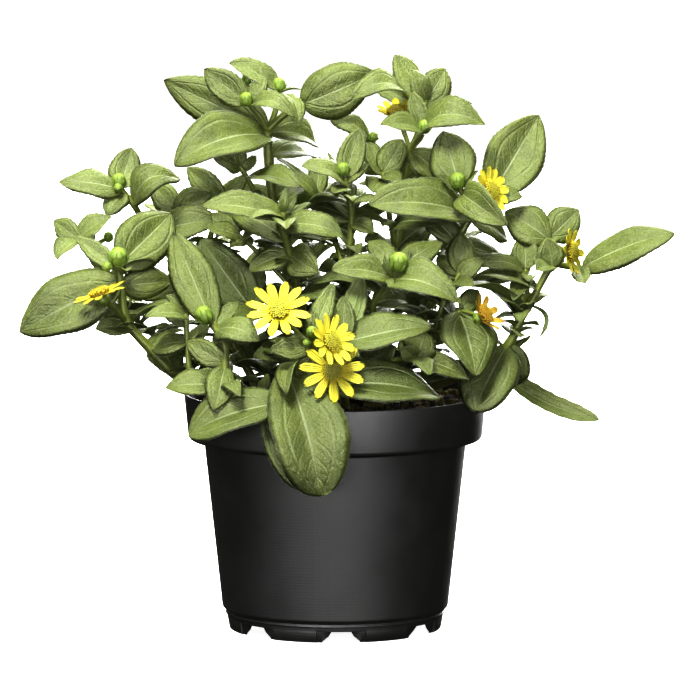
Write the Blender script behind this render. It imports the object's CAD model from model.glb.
"""A creeping zinnia in a black nursery pot, dressed over its fixed frame.

Lengths are millimetres, but for those of the stage and of the settings, which are metres. X runs
to the right as the plant is seen from its front, Y away from the viewer and Z up. The origin is
the middle of the pot's base.
"""

import math

import bpy
import numpy as np
from mathutils.bvhtree import BVHTree
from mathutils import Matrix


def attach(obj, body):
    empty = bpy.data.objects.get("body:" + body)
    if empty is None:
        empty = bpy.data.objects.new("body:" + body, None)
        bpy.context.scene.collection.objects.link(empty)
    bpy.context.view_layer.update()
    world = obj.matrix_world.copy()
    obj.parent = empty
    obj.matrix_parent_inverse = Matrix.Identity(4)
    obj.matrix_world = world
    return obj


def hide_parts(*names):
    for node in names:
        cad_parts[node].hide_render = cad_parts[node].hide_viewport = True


bl_info = {
    "name": "Potted Creeping Zinnia",
    "version": (1, 0, 0),
    "blender": (4, 5, 0),
    "location": "3D View > Sidebar > Zinnia",
    "description": "Leaves, stems, buds, blooms, soil and pot of a creeping zinnia",
    "category": "Object",
}

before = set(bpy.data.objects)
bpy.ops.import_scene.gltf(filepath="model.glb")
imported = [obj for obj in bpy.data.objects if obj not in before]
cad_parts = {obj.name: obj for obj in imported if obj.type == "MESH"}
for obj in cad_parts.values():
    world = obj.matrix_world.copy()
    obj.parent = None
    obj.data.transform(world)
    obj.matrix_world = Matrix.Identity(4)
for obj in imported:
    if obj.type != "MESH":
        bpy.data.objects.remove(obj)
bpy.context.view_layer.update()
MM = 0.001
BODY = "root"
SEED = 7

# The pot's rim, body, foot and wall, and the soil's top with the height of its lumps
RIM_RADIUS, RIM_FOOT_RADIUS, RIM_DEPTH = 60.2, 58.5, 18.0
POT_HEIGHT = 94.2
BODY_TOP_RADIUS, BODY_FOOT_RADIUS = 52.2, 45.0
FOOT_RADIUS, FOOT_HEIGHT = 42.2, 6.4
WALL = 1.3
SOIL_TOP, SOIL_LUMP = 90.0, 0.5

# A leaf's solid: its thickness, its fold, where it is widest (hanging leaves further out), the
# power of its outline, and its least half widths at the stalk and the tip
BLADE_THICKNESS = 0.7
BLADE_FOLD = 0.16
BLADE_PEAK, LOW_BLADE_PEAK = 0.42, 0.55
BLADE_POWER = 1.45
PETIOLE_HALF, TIP_HALF = 0.8, 0.3
# The bow of a pair's leaves as a share of their length, and the length of a pair's second leaf
LEAF_BOW = 0.1
SECOND_LEAF = 0.92
# How far apart the leaves of one point stand on their stem, and the most of a step they take up
LEAF_STEP = 1.2
MOST_BACK = 0.85
# Rows of a search tree's blade, and the one from which the blade lies past its root
TREE_ROWS = 6
OUTER_ROW = 2

# The shade inside the plant: half the width, half the depth and the height of its dome, and how
# far to the front it comes
SHADE_DOME = (104.0, 78.0, 92.0)
SHADE_FRONT = -34.0

# Leaves that fill the shade: the least step of a route, the least height over the soil and the
# least radius of a stem that carry them, where on a step they stand, how far a pair strays from
# a quarter turn, lengths, the share of large ones, breadth, rise, roll and tries to place one
FILL_STEP = 6.5
FILL_HEIGHT = 8.0
FILL_STEM = 1.15
FILL_PLACE = (0.4, 0.6)
FILL_SWAY = 0.35
FILL_LARGE, FILL_SMALL = (24.0, 30.0), (12.0, 16.0)
FILL_SHARE = 0.6
FILL_BREADTH = 0.5
FILL_LIFT = (-0.1, 0.5)
FILL_ROLL = 0.5
FILL_TRIES = 24

# Small leaves of the shade: their lengths, their rise and how far apart they stand on a stem
SPRIG_LENGTH = (9.0, 16.0)
SPRIG_RISE = (-0.2, 0.9)
SPRIG_STEP = 4.5

# How far a leaf stays from other nodes, and from the rest of its own
CLEARANCE = 0.45
OWN_CLEARANCE = 0.1
# How far down a leaf moves for each mm it moves back, to keep its place in the front view
VIEW_SLOPE = 0.13

# A bloom's disc, the gap under it, the green cup there and the stalk of a bud or cup
DISC_RADIUS = 4.0
SEAT_GAP = 0.35
CUP_RADIUS = 2.3
STALK_RADIUS = 0.8

# How a leaf may give way: shifts in depth, rolls, arches and lengths kept, and the price of each
WAY_SHIFTS = (0, -3, 3, -6, 6, -10, 10, -15, 15)
WAY_ROLLS = (0, 0.3, -0.3, 0.6, -0.6)
WAY_ARCHES = (0, 2, -2)
WAY_LENGTHS = (1.0, 0.9, 0.78, 0.62)
WAY_PRICES = (1.0, 9.0, 1.5, 40.0)

# Each stem holds routes (points, radius at foot, radius at top), leaves and buds (centre, radius).
# A leaf is (route, point on it, tip, width, arch, way its upper side looks); its midrib leaves
# that point, bows by the arch and ends at the tip. A stem at the rear also has opposite pairs:
# (route, point, azimuth in degrees, length, width, rise in degrees).
SHOOTS = {
    "stem_far_left": {
        "routes": [
            ([(-26, -14, 80), (-26, -14, 92), (-36, -19, 97), (-50, -25, 100), (-63, -30, 105),
              (-74, -33, 117), (-82, -35, 127), (-84, -36, 141), (-85, -37, 149)], 2.1, 1.6),
            ([(-82, -35, 127), (-87, -43, 133), (-91, -49, 138.2)], 1.2, 0.9),
            ([(-84, -36, 141), (-94, -27, 148), (-98, -22, 154), (-101, -20, 158)], 1.3, 1.0),
            ([(-98, -22, 154), (-93, -16, 156), (-90, -15, 157.5)], 0.8, 0.8),
        ],
        "leaves": [
            (0, 6, (-94, -40, 124), 10, 1, "UF"), (0, 6, (-86, -46, 125.5), 7, 1, "U"),
            (0, 6, (-59, -30, 133.5), 10, 2, "U"), (0, 5, (-56, -20, 112), 12, 1, "UF"),
            (0, 6, (-96, -28, 135.5), 8, 1, "F"), (0, 8, (-80.8, -29, 131.5), 6, 2, "R"),
            (0, 8, (-124, -38, 122.8), 23, 4, "UFF"), (0, 8, (-63.6, -16, 168.4), 21, 1, "F"),
            (0, 8, (-102, -30, 160), 8, -1, "F"), (0, 8, (-70, -30, 150.3), 6, 2, "U"),
            (0, 8, (-81, -47, 148), 6, 1, "U"), (2, 3, (-111.4, -12, 164.5), 9, 1, "F"),
            (2, 3, (-109.4, -30, 150.7), 13, 2, "FL"), (2, 2, (-98, -10, 164), 7, 1, "F"),
            (2, 3, (-88, -22, 167), 10, 1, "UF"), (0, 4, (-72, -10, 118), 13, 2, "UF"),
            (0, 7, (-64, -26, 142), 13, 1, "F"), (0, 4, (-58, -46, 110), 9, 1, "U"),
        ],
        "buds": [((-85, -40, 152.6), 3.9), ((-89.2, -44, 149.3), 1.9), ((-89.6, -15, 158), 2.0)],
    },
    "stem_upper_left": {
        "routes": [
            ([(-30, 4, 80), (-30, 4, 92), (-40, 4, 112), (-55, 3, 135), (-68, 1, 152),
              (-76, -2, 163), (-80, -5, 170), (-85, -7, 176.5)], 1.9, 1.1),
            ([(-68, 1, 152), (-66, 2, 160), (-63, 3, 167)], 1.1, 0.9),
            ([(-55, 3, 135), (-50, 7, 155), (-44, 9, 170)], 1.2, 0.9),
        ],
        "leaves": [
            (0, 7, (-109.2, -10, 179.3), 14, 2, "UF"), (0, 7, (-80.8, 0, 192), 13, -1, "F"),
            (0, 7, (-90.4, -15, 166.8), 10, 1, "UF"), (0, 6, (-60.8, -4, 180), 15, 10, "UF"),
            (1, 2, (-49.2, 1, 174), 13, 1, "F"), (1, 2, (-72.2, 8, 176.2), 11, 1, "F"),
            (2, 2, (-59.2, 12, 183.2), 10, 1, "F"), (2, 2, (-35.6, 15, 180), 8, 1, "UF"),
            (0, 4, (-84, 14, 150), 12, 2, "UF"), (0, 3, (-70, 20, 136), 14, 2, "UF"),
            (0, 3, (-58, -12, 142), 12, 2, "UF"), (0, 4, (-84, 4, 141), 12, 2, "UF"),
            (0, 3, (-78, 8, 131), 12, 2, "UF"),
        ],
        "buds": [((-85.6, -8, 179.6), 2.9), ((-85.8, -12, 177.2), 1.8)],
    },
    "stem_tall": {
        "routes": [
            ([(-10, 12, 80), (-10, 12, 92), (-14, 12, 115), (-20, 12, 145), (-25, 11, 170),
              (-26.5, 10, 188), (-27, 10, 198)], 2.1, 1.8),
            ([(-27, 10, 198), (-30, 8, 204), (-35, 6, 209.5)], 1.2, 0.9),
            ([(-27, 10, 198), (-24, 12, 205), (-22.3, 13, 214)], 1.2, 0.9),
            ([(-35, 6, 209.5), (-34.5, 10, 214), (-35, 12, 217)], 0.7, 0.7),
            ([(-27, 10, 198), (-20, 9, 204.5), (-13.5, 8, 208.5)], 1.4, 1.1),
            ([(-20, 12, 145), (-27, 8, 162), (-32, 6, 173.6), (-37.7, 4, 184.3)], 1.3, 1.0),
        ],
        "leaves": [
            (0, 6, (-64, -12, 187), 23, 6, "UF"), (0, 6, (-68.4, 20, 217.2), 19, -3, "F"),
            (0, 6, (-7, 25, 190), 15, 4, "UF"), (4, 2, (16, 10, 221), 21, 4, "F"),
            (1, 2, (-52, 8, 222.6), 12, 1, "F"), (1, 2, (-15.6, -4, 204.4), 9, 6, "UF"),
            (1, 2, (-27.2, 8, 220.2), 7, 0, "F"), (2, 2, (-42, 10, 225.4), 10, 2, "UF"),
            (2, 2, (-13.4, 12, 214.3), 4, 1, "U"), (2, 2, (-14.4, -2, 200.3), 8, 5, "FR"),
            (5, 3, (-49.2, 0, 190), 10, 1, "UF"), (5, 3, (-38.8, 4, 193), 6, 0, "F"),
            (5, 3, (-31.6, 9, 188), 4, 1, "F"), (0, 4, (-12, 28, 176), 14, 2, "UF"),
            (0, 5, (-8, 32, 185), 12, 3, "UF"), (0, 4, (-44, 26, 168), 14, 2, "UF"),
            (0, 3, (-30, 34, 150), 14, 2, "UB"), (0, 3, (-8, -6, 148), 12, 2, "UF"),
        ],
        "buds": [((-35.4, 5, 211), 2.8), ((-22.4, 13, 216), 2.8), ((-35, 12, 218.4), 2.2)],
    },
    "stem_top_right": {
        "routes": [
            ([(14, 10, 80), (14, 10, 92), (18, 11, 120), (24, 10, 150), (28, 8, 180),
              (30, 7, 190), (33.5, 3, 195.5), (35.5, 0, 199)], 1.9, 1.0),
            ([(30, 7, 190), (27.5, 9.5, 197), (25, 10.5, 203)], 0.9, 0.8),
            ([(30, 7, 190), (34, 11, 200), (36, 12, 210)], 1.3, 1.0),
            ([(34, 11, 200), (35.5, 14, 207), (27, 9, 213)], 0.9, 0.8),
            ([(28, 8, 180), (20, 13, 188), (14, 14, 193.5)], 0.9, 0.8),
            ([(24, 10, 150), (21, 5, 168), (19, 1, 182)], 1.2, 0.9),
        ],
        "leaves": [
            (0, 7, (59.6, -10, 202), 15, 9, "UF"), (0, 7, (18, -11, 202.5), 11, 2, "UF"),
            (0, 7, (30.4, 1, 214.4), 8, 0, "F"), (2, 2, (24, 18, 227.8), 14, 0, "F"),
            (2, 2, (44, 15, 222.5), 14, 0, "F"), (2, 2, (30.4, 7, 222.7), 10, 0, "F"),
            (2, 2, (54.4, 8, 208.8), 6, 3, "UF"), (2, 2, (12.4, 18, 218.6), 8, 2, "UF"),
            (3, 2, (5.9, -5, 212), 12, 7, "UF"), (4, 2, (-2, 10, 202), 10, 4, "UF"),
            (5, 2, (27, 4, 195), 12, 0, "F"), (5, 2, (13.2, 4, 194), 9, 0, "F"),
            (5, 2, (14.8, -11, 176), 12, 1, "UF"), (5, 2, (26, -10, 179), 8, 2, "UF"),
            (0, 4, (44, 22, 184), 14, 2, "UF"), (0, 5, (42, 2, 179), 13, 2, "UF"),
            (0, 3, (38, 20, 160), 14, 2, "UF"), (0, 3, (12, -6, 156), 13, 2, "UF"),
            (0, 4, (12, 28, 180), 14, 2, "UB"),
        ],
        "buds": [((35.6, -1, 200.6), 2.7), ((15.2, 11, 195.3), 2.0)],
    },
    "stem_middle": {
        "routes": [
            ([(2, -2, 80), (2, -2, 92), (3, -3, 115), (5, -6, 140), (6.5, -9, 165),
              (5, -11, 175), (4, -12, 181.5)], 1.7, 1.0),
            ([(5, -6, 140), (-2, 4, 160), (-8, 9, 173)], 1.2, 0.9),
        ],
        "leaves": [
            (0, 6, (9.6, -9, 200.4), 11, 0, "F"), (0, 6, (-13.2, -17, 186.4), 12, 3, "UF"),
            (0, 6, (-2.8, -10, 191), 4, 1, "U"), (0, 6, (-1.2, -21, 176.2), 8, 1, "UF"),
            (0, 6, (13.6, -12, 187), 6, 2, "UF"), (0, 4, (-3, -6, 173), 7, 1, "U"),
            (0, 4, (15.6, -11, 158.9), 9, 2, "UF"), (0, 4, (-10, 2, 169), 12, 2, "UF"),
            (1, 2, (-22.8, 15, 187.2), 10, 3, "U"), (1, 2, (-19.6, 5, 181.5), 7, 1, "UF"),
            (1, 2, (-6, 17, 187), 8, 1, "F"), (0, 3, (-6, -20, 146), 12, 2, "UF"),
            (0, 2, (-12, -2, 124), 14, 2, "UF"), (0, 2, (16, -12, 124), 13, 2, "UF"),
        ],
        "buds": [((3.2, -13, 184.8), 2.5)],
    },
    "stem_centre": {
        "routes": [
            ([(-8, -8, 80), (-8, -8, 92), (-10, -12, 112), (-14, -18, 135), (-18, -23, 152),
              (-20.5, -26, 162), (-20.5, -27, 169)], 1.8, 1.1),
            ([(-14, -18, 135), (-28, -13, 149), (-39, -9, 159)], 1.1, 0.8),
            ([(-10, -12, 112), (-22, -16, 122), (-33, -17, 129.5)], 1.1, 0.9),
        ],
        "leaves": [
            (0, 6, (-52.5, -33, 172.2), 13, 3, "UF"), (0, 6, (3.8, -33, 160.3), 13, 4, "UF"),
            (0, 6, (-19.2, -45, 164), 9, 2, "U"), (0, 6, (-33.8, -40, 168), 7, 1, "U"),
            (0, 6, (-19.4, -26, 178.4), 4, 0, "F"), (0, 6, (-15, -24, 176), 4, 0, "F"),
            (0, 4, (-6.8, -33, 146), 14, 1, "F"), (0, 4, (-34, -26, 146), 12, 1, "UF"),
            (1, 2, (-51.2, -16, 161.6), 9, 1, "UF"), (1, 2, (-49.2, -5, 166.4), 8, 1, "F"),
            (1, 2, (-36.8, -2, 168), 7, 0, "F"), (1, 2, (-31.6, -14, 159.6), 7, 1, "UF"),
            (1, 2, (-41.6, -17, 154), 6, 1, "UF"), (2, 2, (-53.2, -10, 156.6), 19, 1, "F"),
            (2, 2, (-31, -13, 151), 8, 1, "F"), (2, 2, (-42, -34, 122), 12, 2, "UF"),
            (0, 3, (0, -34, 136), 12, 2, "UF"), (0, 3, (-34, -20, 134), 13, 2, "UF"),
            (0, 2, (-32, -30, 112), 13, 2, "UF"),
        ],
        "buds": [((-20.3, -27, 172.2), 2.1)],
    },
    "stem_front_left": {
        "routes": [
            ([(-16, -24, 80), (-16, -24, 92), (-16, -38, 97), (-17, -52, 98.5), (-19, -59, 97.5),
              (-22, -61, 93.5), (-28, -58.5, 91), (-34, -55, 91.5), (-39, -51.5, 96), (-43, -51, 103.6),
              (-43, -50, 112), (-43.5, -48, 120), (-48, -45, 127)], 1.8, 1.5),
            ([(-16, -38, 97), (-30, -36, 98.5), (-44, -37, 99.5), (-54, -39, 102), (-57, -40, 108),
              (-58, -40, 119), (-58.4, -40, 130)], 1.4, 1.1),
        ],
        "leaves": [
            (0, 4, (-58, -60, 86), 21, 3, "UF"), (0, 6, (-11.6, -66, 64), 12, 1, "F"),
            (0, 9, (-66.5, -51, 102.5), 12, 2, "UF"), (0, 9, (-52.4, -56, 110), 8, 1, "UF"),
            (0, 9, (-36.8, -62, 100.8), 8, 2, "UF"), (0, 10, (-58, -46, 120.3), 10, 1, "F"),
            (0, 12, (-63.6, -31, 161.5), 17, 0, "F"), (0, 12, (-49.2, -37, 148), 5, 0, "F"),
            (0, 12, (-29.2, -58, 122), 15, 4, "UF"), (0, 12, (-37.6, -40, 135.2), 7, 1, "UF"),
            (0, 11, (-34, -44, 118), 8, 1, "U"), (0, 10, (-47, -60, 95), 12, 1, "F"),
            (1, 3, (-36, -54, 106), 12, 2, "UF"), (1, 6, (-74, -48, 129.8), 9, 3, "UF"),
            (1, 6, (-66, -30, 137), 6, 0, "UF"), (1, 5, (-72, -30, 114), 10, 2, "UF"),
        ],
        "buds": [((-51.2, -47, 130.6), 3.5)],
    },
    "stem_front": {
        "routes": [
            ([(4, -26, 80), (4, -26, 92), (2, -36, 103), (-2, -46, 110), (-6, -53, 115),
              (-9, -58, 119.5), (-9.5, -61, 123)], 1.8, 1.1),
            ([(-2, -46, 110), (-12, -49, 111.5), (-19, -51, 110)], 1.3, 1.2),
            ([(-2, -46, 110), (1, -50, 116), (4, -53, 122)], 1.3, 1.0),
            ([(2, -36, 103), (0, -46, 104), (-3, -54, 103)], 1.3, 1.1),
            ([(-6, -53, 115), (-14, -56, 124), (-21, -58, 132.5)], 0.9, 0.8),
            ([(-9, -58, 119.5), (-9.5, -60, 123), (-6, -65, 124), (-3, -66.5, 122.4)], 0.8, 0.7),
            ([(-6, -53, 115), (-4, -57, 112), (-2, -60.5, 110.3)], 0.8, 0.7),
        ],
        "leaves": [
            (1, 2, (-5.3, -70, 61.5), 29, 8, "UF"), (3, 2, (42, -46, 98), 21, 5, "UF"),
            (0, 2, (22.8, -45, 117.6), 19, -4, "F"), (0, 5, (-25.2, -66, 119.3), 10, 3, "UF"),
            (0, 5, (-12.4, -69, 107), 10, 2, "UF"), (1, 1, (-19.2, -71, 102.6), 11, 5, "UF"),
            (0, 6, (-0.4, -49, 143.6), 9, 0, "F"), (2, 2, (3.2, -49, 138.5), 9, 0, "F"),
            (2, 2, (37.5, -51, 127.4), 17, 1, "UF"), (2, 2, (9.5, -63, 116), 5, 1, "UF"),
            (2, 2, (10.8, -36, 146), 9, 0, "B"), (0, 3, (18, -42, 108), 12, 2, "UF"),
        ],
        "buds": [((-9, -64, 126), 2.2), ((-11, -63.5, 121.6), 1.6)],
    },
    "stem_mid_right": {
        "routes": [
            ([(20, -16, 80), (20, -16, 92), (17, -22, 108), (15, -28, 122), (15, -30, 132.7),
              (20, -33, 141), (24.5, -36, 147.5)], 1.7, 1.0),
            ([(17, -22, 108), (25, -35, 111), (32, -43, 113.5)], 1.2, 1.0),
        ],
        "leaves": [
            (0, 6, (-1.2, -46, 148.5), 14, 2, "UF"), (0, 6, (13.2, -24, 158), 10, 1, "UF"),
            (0, 6, (48, -46, 136), 17, 6, "UF"), (0, 6, (42, -24, 157), 12, 2, "UF"),
            (0, 6, (19.6, -40, 154), 3, 0, "U"), (0, 6, (29.6, -37, 157), 3, 0, "U"),
            (0, 6, (22.8, -46, 139), 4, 1, "UF"), (0, 6, (28.5, -46, 139.2), 5, 1, "UF"),
            (0, 4, (29, -20, 133), 12, 2, "UF"), (0, 4, (4, -24, 130), 10, 2, "UF"),
            (1, 2, (37.2, -56, 108.5), 10, 2, "U"), (1, 2, (35.6, -35, 123), 14, 0, "F"),
            (1, 2, (26, -47, 118), 8, 1, "F"), (1, 2, (53.2, -40, 104.8), 11, 2, "UF"),
        ],
        "buds": [((25, -38, 150.6), 3.7)],
    },
    "stem_inner_right": {
        "routes": [
            ([(32, -10, 80), (32, -10, 92), (36, -14, 106), (38.5, -18, 117.5), (44, -19, 135),
              (49.5, -17, 144)], 1.6, 1.1),
            ([(38.5, -18, 117.5), (44, -22, 125), (49.5, -25, 130)], 1.2, 1.0),
            ([(49.5, -25, 130), (54, -28, 129), (57, -30, 128.5)], 0.8, 0.7),
        ],
        "leaves": [
            (0, 5, (50, -10, 159.5), 11, 0, "F"), (0, 5, (58.5, -15, 149), 8, 1, "UF"),
            (0, 5, (40, -12, 150), 8, 1, "UF"), (1, 2, (55, -45, 106.3), 23, 2, "UF"),
            (1, 2, (57.2, -19, 137), 9, 1, "F"), (1, 1, (58, -12, 118), 11, 2, "UF"),
        ],
        "buds": [],
    },
    "stem_shoulder": {
        "routes": [
            ([(26, 0, 80), (26, 0, 92), (32, -3, 115), (40, -6, 135), (48, -9, 155),
              (53.5, -10, 166), (51, -12, 173), (49, -13, 178)], 1.8, 1.1),
            ([(53.5, -10, 166), (57.5, -10.5, 171), (59.5, -11.5, 175)], 1.0, 0.8),
            ([(53.5, -10, 166), (58, -4, 169), (62, -1, 173)], 1.2, 1.0),
        ],
        "leaves": [
            (0, 5, (13.2, -25, 172), 21, 4, "UF"), (0, 5, (69, 2, 155), 12, 2, "UF"),
            (0, 7, (43, -5, 199), 18, 0, "F"), (0, 7, (67.6, -25, 163.3), 14, 4, "UF"),
            (0, 7, (41.2, -16, 183), 7, 1, "UF"), (0, 7, (56.5, -10, 184), 4, 1, "UF"),
            (2, 2, (81.2, 10, 204.3), 22, -1, "F"), (2, 2, (74.5, -4, 173), 8, 2, "UF"),
            (0, 3, (52, 12, 144), 14, 2, "UF"), (0, 3, (30, -18, 145), 12, 2, "UF"),
            (0, 2, (44, 10, 118), 14, 2, "UF"), (0, 4, (67, -2, 147), 12, 2, "UF"),
            (0, 4, (36, -2, 165), 12, 2, "UF"),
        ],
        "buds": [((48.4, -15, 180.4), 3.1)],
    },
    "stem_right": {
        "routes": [
            ([(36, 6, 80), (36, 6, 92), (44, 0, 99), (54, -7, 102), (62, -12, 108),
              (68.8, -15, 115.5), (73, -15, 124.5), (74, -15, 135)], 2.0, 1.7),
            ([(73, -15, 124.5), (77, -14, 131), (83.5, -12, 143), (86, -12, 145.5)], 1.5, 1.3),
            ([(73, -15, 124.5), (76, -10, 133), (75.5, -7, 144)], 1.1, 1.0),
            ([(86, -12, 145.5), (87.5, -2, 145.5), (91.5, 4, 144.5), (98, 3, 143.5)], 1.3, 1.2),
            ([(86, -12, 145.5), (86.5, -5, 151), (85, 0, 156)], 1.1, 0.9),
            ([(86, -12, 145.5), (88, -10.5, 149), (91, -9.3, 151)], 0.8, 0.7),
        ],
        "leaves": [
            (0, 5, (54.8, -38, 92), 22, 2, "UF"), (0, 5, (70.5, -12, 96.9), 15, 1, "F"),
            (0, 4, (105, -5, 84), 9.5, -7, "UF"), (2, 2, (75.2, -2, 157.5), 11, 0, "F"),
            (2, 2, (53.2, -8, 145.4), 9, 5, "UF"), (2, 2, (53.2, 1, 137.2), 10, 2, "UF"),
            (2, 2, (70.2, -22, 133.5), 8, 2, "UF"), (0, 6, (62, -9, 136.2), 6, 1, "U"),
            (1, 1, (81, -12, 117.5), 4, 5, "U"), (3, 3, (134, -10, 159.8), 18, 2, "UF"),
            (3, 3, (98.8, -20, 140.5), 8, 2, "UF"), (3, 0, (79.2, -26, 146), 9, 1, "UF"),
            (3, 0, (84, -15, 157.5), 11, 0, "F"), (4, 2, (67.2, 1, 166.5), 16, 2, "UFF"),
            (4, 2, (97.2, 6, 167), 14, 0, "F"), (4, 2, (88, 16, 160), 10, 2, "UB"),
        ],
        "buds": [],
    },
    "stem_back_left": {
        "routes": [([(-24, 22, 80), (-24, 22, 92), (-34, 28, 108), (-50, 36, 128), (-60, 41, 144),
                     (-67, 44, 156)], 1.8, 1.0)],
        "pairs": [(0, 2, 150, 27, 14, 8), (0, 3, 60, 30, 15, 12), (0, 4, 150, 26, 13, 18),
                  (0, 5, 60, 21, 11, 22), (0, 5, 150, 15, 8, 38)],
        "buds": [((-67.6, 44.4, 158.6), 2.6)],
    },
    "stem_low_left": {
        "routes": [([(-36, 16, 80), (-36, 16, 92), (-46, 22, 100), (-60, 30, 106), (-73, 36, 113),
                     (-84, 40, 122)], 1.8, 1.0)],
        "pairs": [(0, 3, 100, 28, 14, 6), (0, 4, 10, 26, 13, 8), (0, 5, 100, 21, 11, 18),
                  (0, 5, 10, 15, 8, 32)],
        "buds": [((-84.8, 40.3, 124.4), 2.4)],
    },
    "stem_back_middle": {
        "routes": [([(-4, 32, 80), (-4, 32, 92), (-6, 40, 112), (-9, 50, 132), (-12, 57, 150),
                     (-14, 61, 163)], 1.8, 1.0)],
        "pairs": [(0, 2, 30, 28, 14, 8), (0, 3, 120, 30, 15, 10), (0, 4, 30, 26, 13, 14),
                  (0, 5, 120, 20, 10, 24), (0, 5, 30, 14, 8, 38)],
        "buds": [((-14.2, 61.5, 165.8), 2.6)],
    },
    "stem_back_top": {
        "routes": [([(8, 22, 80), (8, 22, 92), (8, 28, 120), (6, 33, 146), (5, 37, 164),
                     (4, 39, 176)], 1.7, 1.0)],
        "pairs": [(0, 2, 80, 26, 13, 10), (0, 3, 170, 28, 14, 12), (0, 4, 80, 23, 12, 15),
                  (0, 5, 170, 18, 9, 18)],
        "buds": [((4, 39.2, 178.8), 2.4)],
    },
    "stem_back_right": {
        "routes": [([(26, 24, 80), (26, 24, 92), (32, 30, 112), (41, 36, 132), (47, 40, 147),
                     (51, 43, 158)], 1.8, 1.0)],
        "pairs": [(0, 2, 60, 26, 13, 8), (0, 3, 150, 28, 14, 10), (0, 4, 60, 24, 12, 14),
                  (0, 5, 150, 18, 10, 20), (0, 5, 60, 13, 7, 38)],
        "buds": [((51.2, 43.3, 160.6), 2.4)],
    },
    "stem_low_back": {
        "routes": [([(10, 38, 80), (10, 38, 92), (8, 50, 101), (4, 64, 104), (-1, 75, 109),
                     (-5, 84, 116)], 1.8, 1.0)],
        "leaves": [(0, 3, (20, 84, 72), 21, 6, "UB")],
        "pairs": [(0, 3, 15, 28, 14, 5), (0, 4, 100, 25, 13, 8), (0, 5, 15, 20, 10, 18),
                  (0, 5, 100, 14, 8, 32)],
        "buds": [((-5.4, 84.8, 118.4), 2.4)],
    },
}

# A bloom is (seat of its base, way it faces, ray length, ray width, ray count, lift of the rays).
BLOOMS = {
    "bloom_front_left": ((-21.8, -60, 134), (-0.05, -0.77, 0.64), 9.5, 3.4, 12, 0.10),
    "bloom_front_upper": ((-1.5, -67.6, 122.8), (0.62, -0.7, 0.35), 7.4, 3.3, 12, 0.25),
    "bloom_front_lower": ((-1, -62.9, 110.8), (0.12, -0.96, 0.16), 9.5, 3.6, 11, 0.15),
    "bloom_far_left": ((-91.8, -50.2, 139.4), (-0.35, -0.1, 0.93), 7.5, 3.2, 10, 0.0),
    "bloom_top": ((24.6, 10.4, 205.4), (-0.08, -0.3, 0.94), 4.4, 2.8, 10, 0.5),
    "bloom_shoulder": ((61.4, -12.6, 176.2), (0.72, -0.62, 0.3), 6.0, 3.2, 12, 0.2),
    "bloom_right": ((93.4, -9.6, 151.6), (0.9, -0.42, 0.1), 5.6, 3.0, 10, 0.2),
    "bloom_fading": ((58.6, -31, 128.8), (0.75, -0.4, 0.5), 4.5, 2.6, 8, 0.7),
}

# Which stem carries each bloom
CARRIED = [
    ("stem_front", "bloom_front_left"), ("stem_front", "bloom_front_upper"),
    ("stem_front", "bloom_front_lower"), ("stem_far_left", "bloom_far_left"),
    ("stem_top_right", "bloom_top"), ("stem_shoulder", "bloom_shoulder"),
    ("stem_right", "bloom_right"), ("stem_inner_right", "bloom_fading"),
]

# The ways that letters name: up, front, back, left and right
FACES = {"U": (0, 0, 1), "F": (0, -1, 0), "B": (0, 1, 0), "L": (-1, 0, 0), "R": (1, 0, 0)}


def unit(vector):
    """The vector scaled to length one."""
    vector = np.asarray(vector, float)
    return vector / np.linalg.norm(vector)


def face_direction(letters):
    """The direction that the letters name, such as UF for up and to the front."""
    return unit(sum(np.array(FACES[letter], float) for letter in letters))


def turned(vector, axis, angle):
    """The vector turned about a unit axis by an angle in radians."""
    vector, axis = np.asarray(vector, float), np.asarray(axis, float)
    return (vector * math.cos(angle) + np.cross(axis, vector) * math.sin(angle)
            + axis * axis.dot(vector) * (1 - math.cos(angle)))


def units(vectors):
    """The rows scaled to length one each."""
    return vectors / np.linalg.norm(vectors, axis=1)[:, None]


def beside(way, helper):
    """Two directions square to a unit direction and to each other, or to each row of several."""
    side = np.cross(way, helper)
    side = unit(side) if side.ndim == 1 else units(side)
    return side, np.cross(way, side)


def heading(azimuth, rise):
    """The direction at an angle round the Z axis and a rise above the level, in radians."""
    level = math.cos(rise)
    return np.array((math.cos(azimuth) * level, math.sin(azimuth) * level, math.sin(rise)))


def grid_faces(rows, cols, wrap=False):
    """Quads of a grid of points numbered row by row; wrap joins the last column to the first."""
    wide = cols if wrap else cols + 1
    i, j = np.meshgrid(np.arange(rows), np.arange(cols), indexing="ij")
    ahead = (j + 1) % wide if wrap else j + 1
    quads = np.stack([i * wide + j, i * wide + ahead, (i + 1) * wide + ahead, (i + 1) * wide + j], -1)
    return quads.reshape(-1, 4)


def stack_faces(rings, sides):
    """The faces between rings of points, and those that close both ends with the two points after."""
    k, count = np.arange(sides), rings * sides
    ahead, last = (k + 1) % sides, count - sides
    caps = np.vstack([np.stack([np.full(sides, count), ahead, k], -1),
                      np.stack([np.full(sides, count + 1), last + k, last + ahead], -1)])
    return [grid_faces(rings - 1, sides, wrap=True), caps]


def over_frame(points, side, up, across, rise):
    """Points beside and above those of a line, by grids of distances along its two directions."""
    return points[:, None] + side[:, None] * across[..., None] + up[:, None] * rise[..., None]


def all_leaves(shoot):
    """The leaves of a stem: those in its table and those of its opposite pairs."""
    leaves = list(shoot.get("leaves", []))
    for route, point, azimuth, length, width, rise in shoot.get("pairs", []):
        root = np.array(shoot["routes"][route][0][point], float)
        for side, share in ((0, 1), (180, SECOND_LEAF)):
            tip = root + share * length * heading(math.radians(azimuth + side), math.radians(rise))
            leaves.append((route, point, tuple(tip), width, LEAF_BOW * length, "U"))
    return leaves


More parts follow.
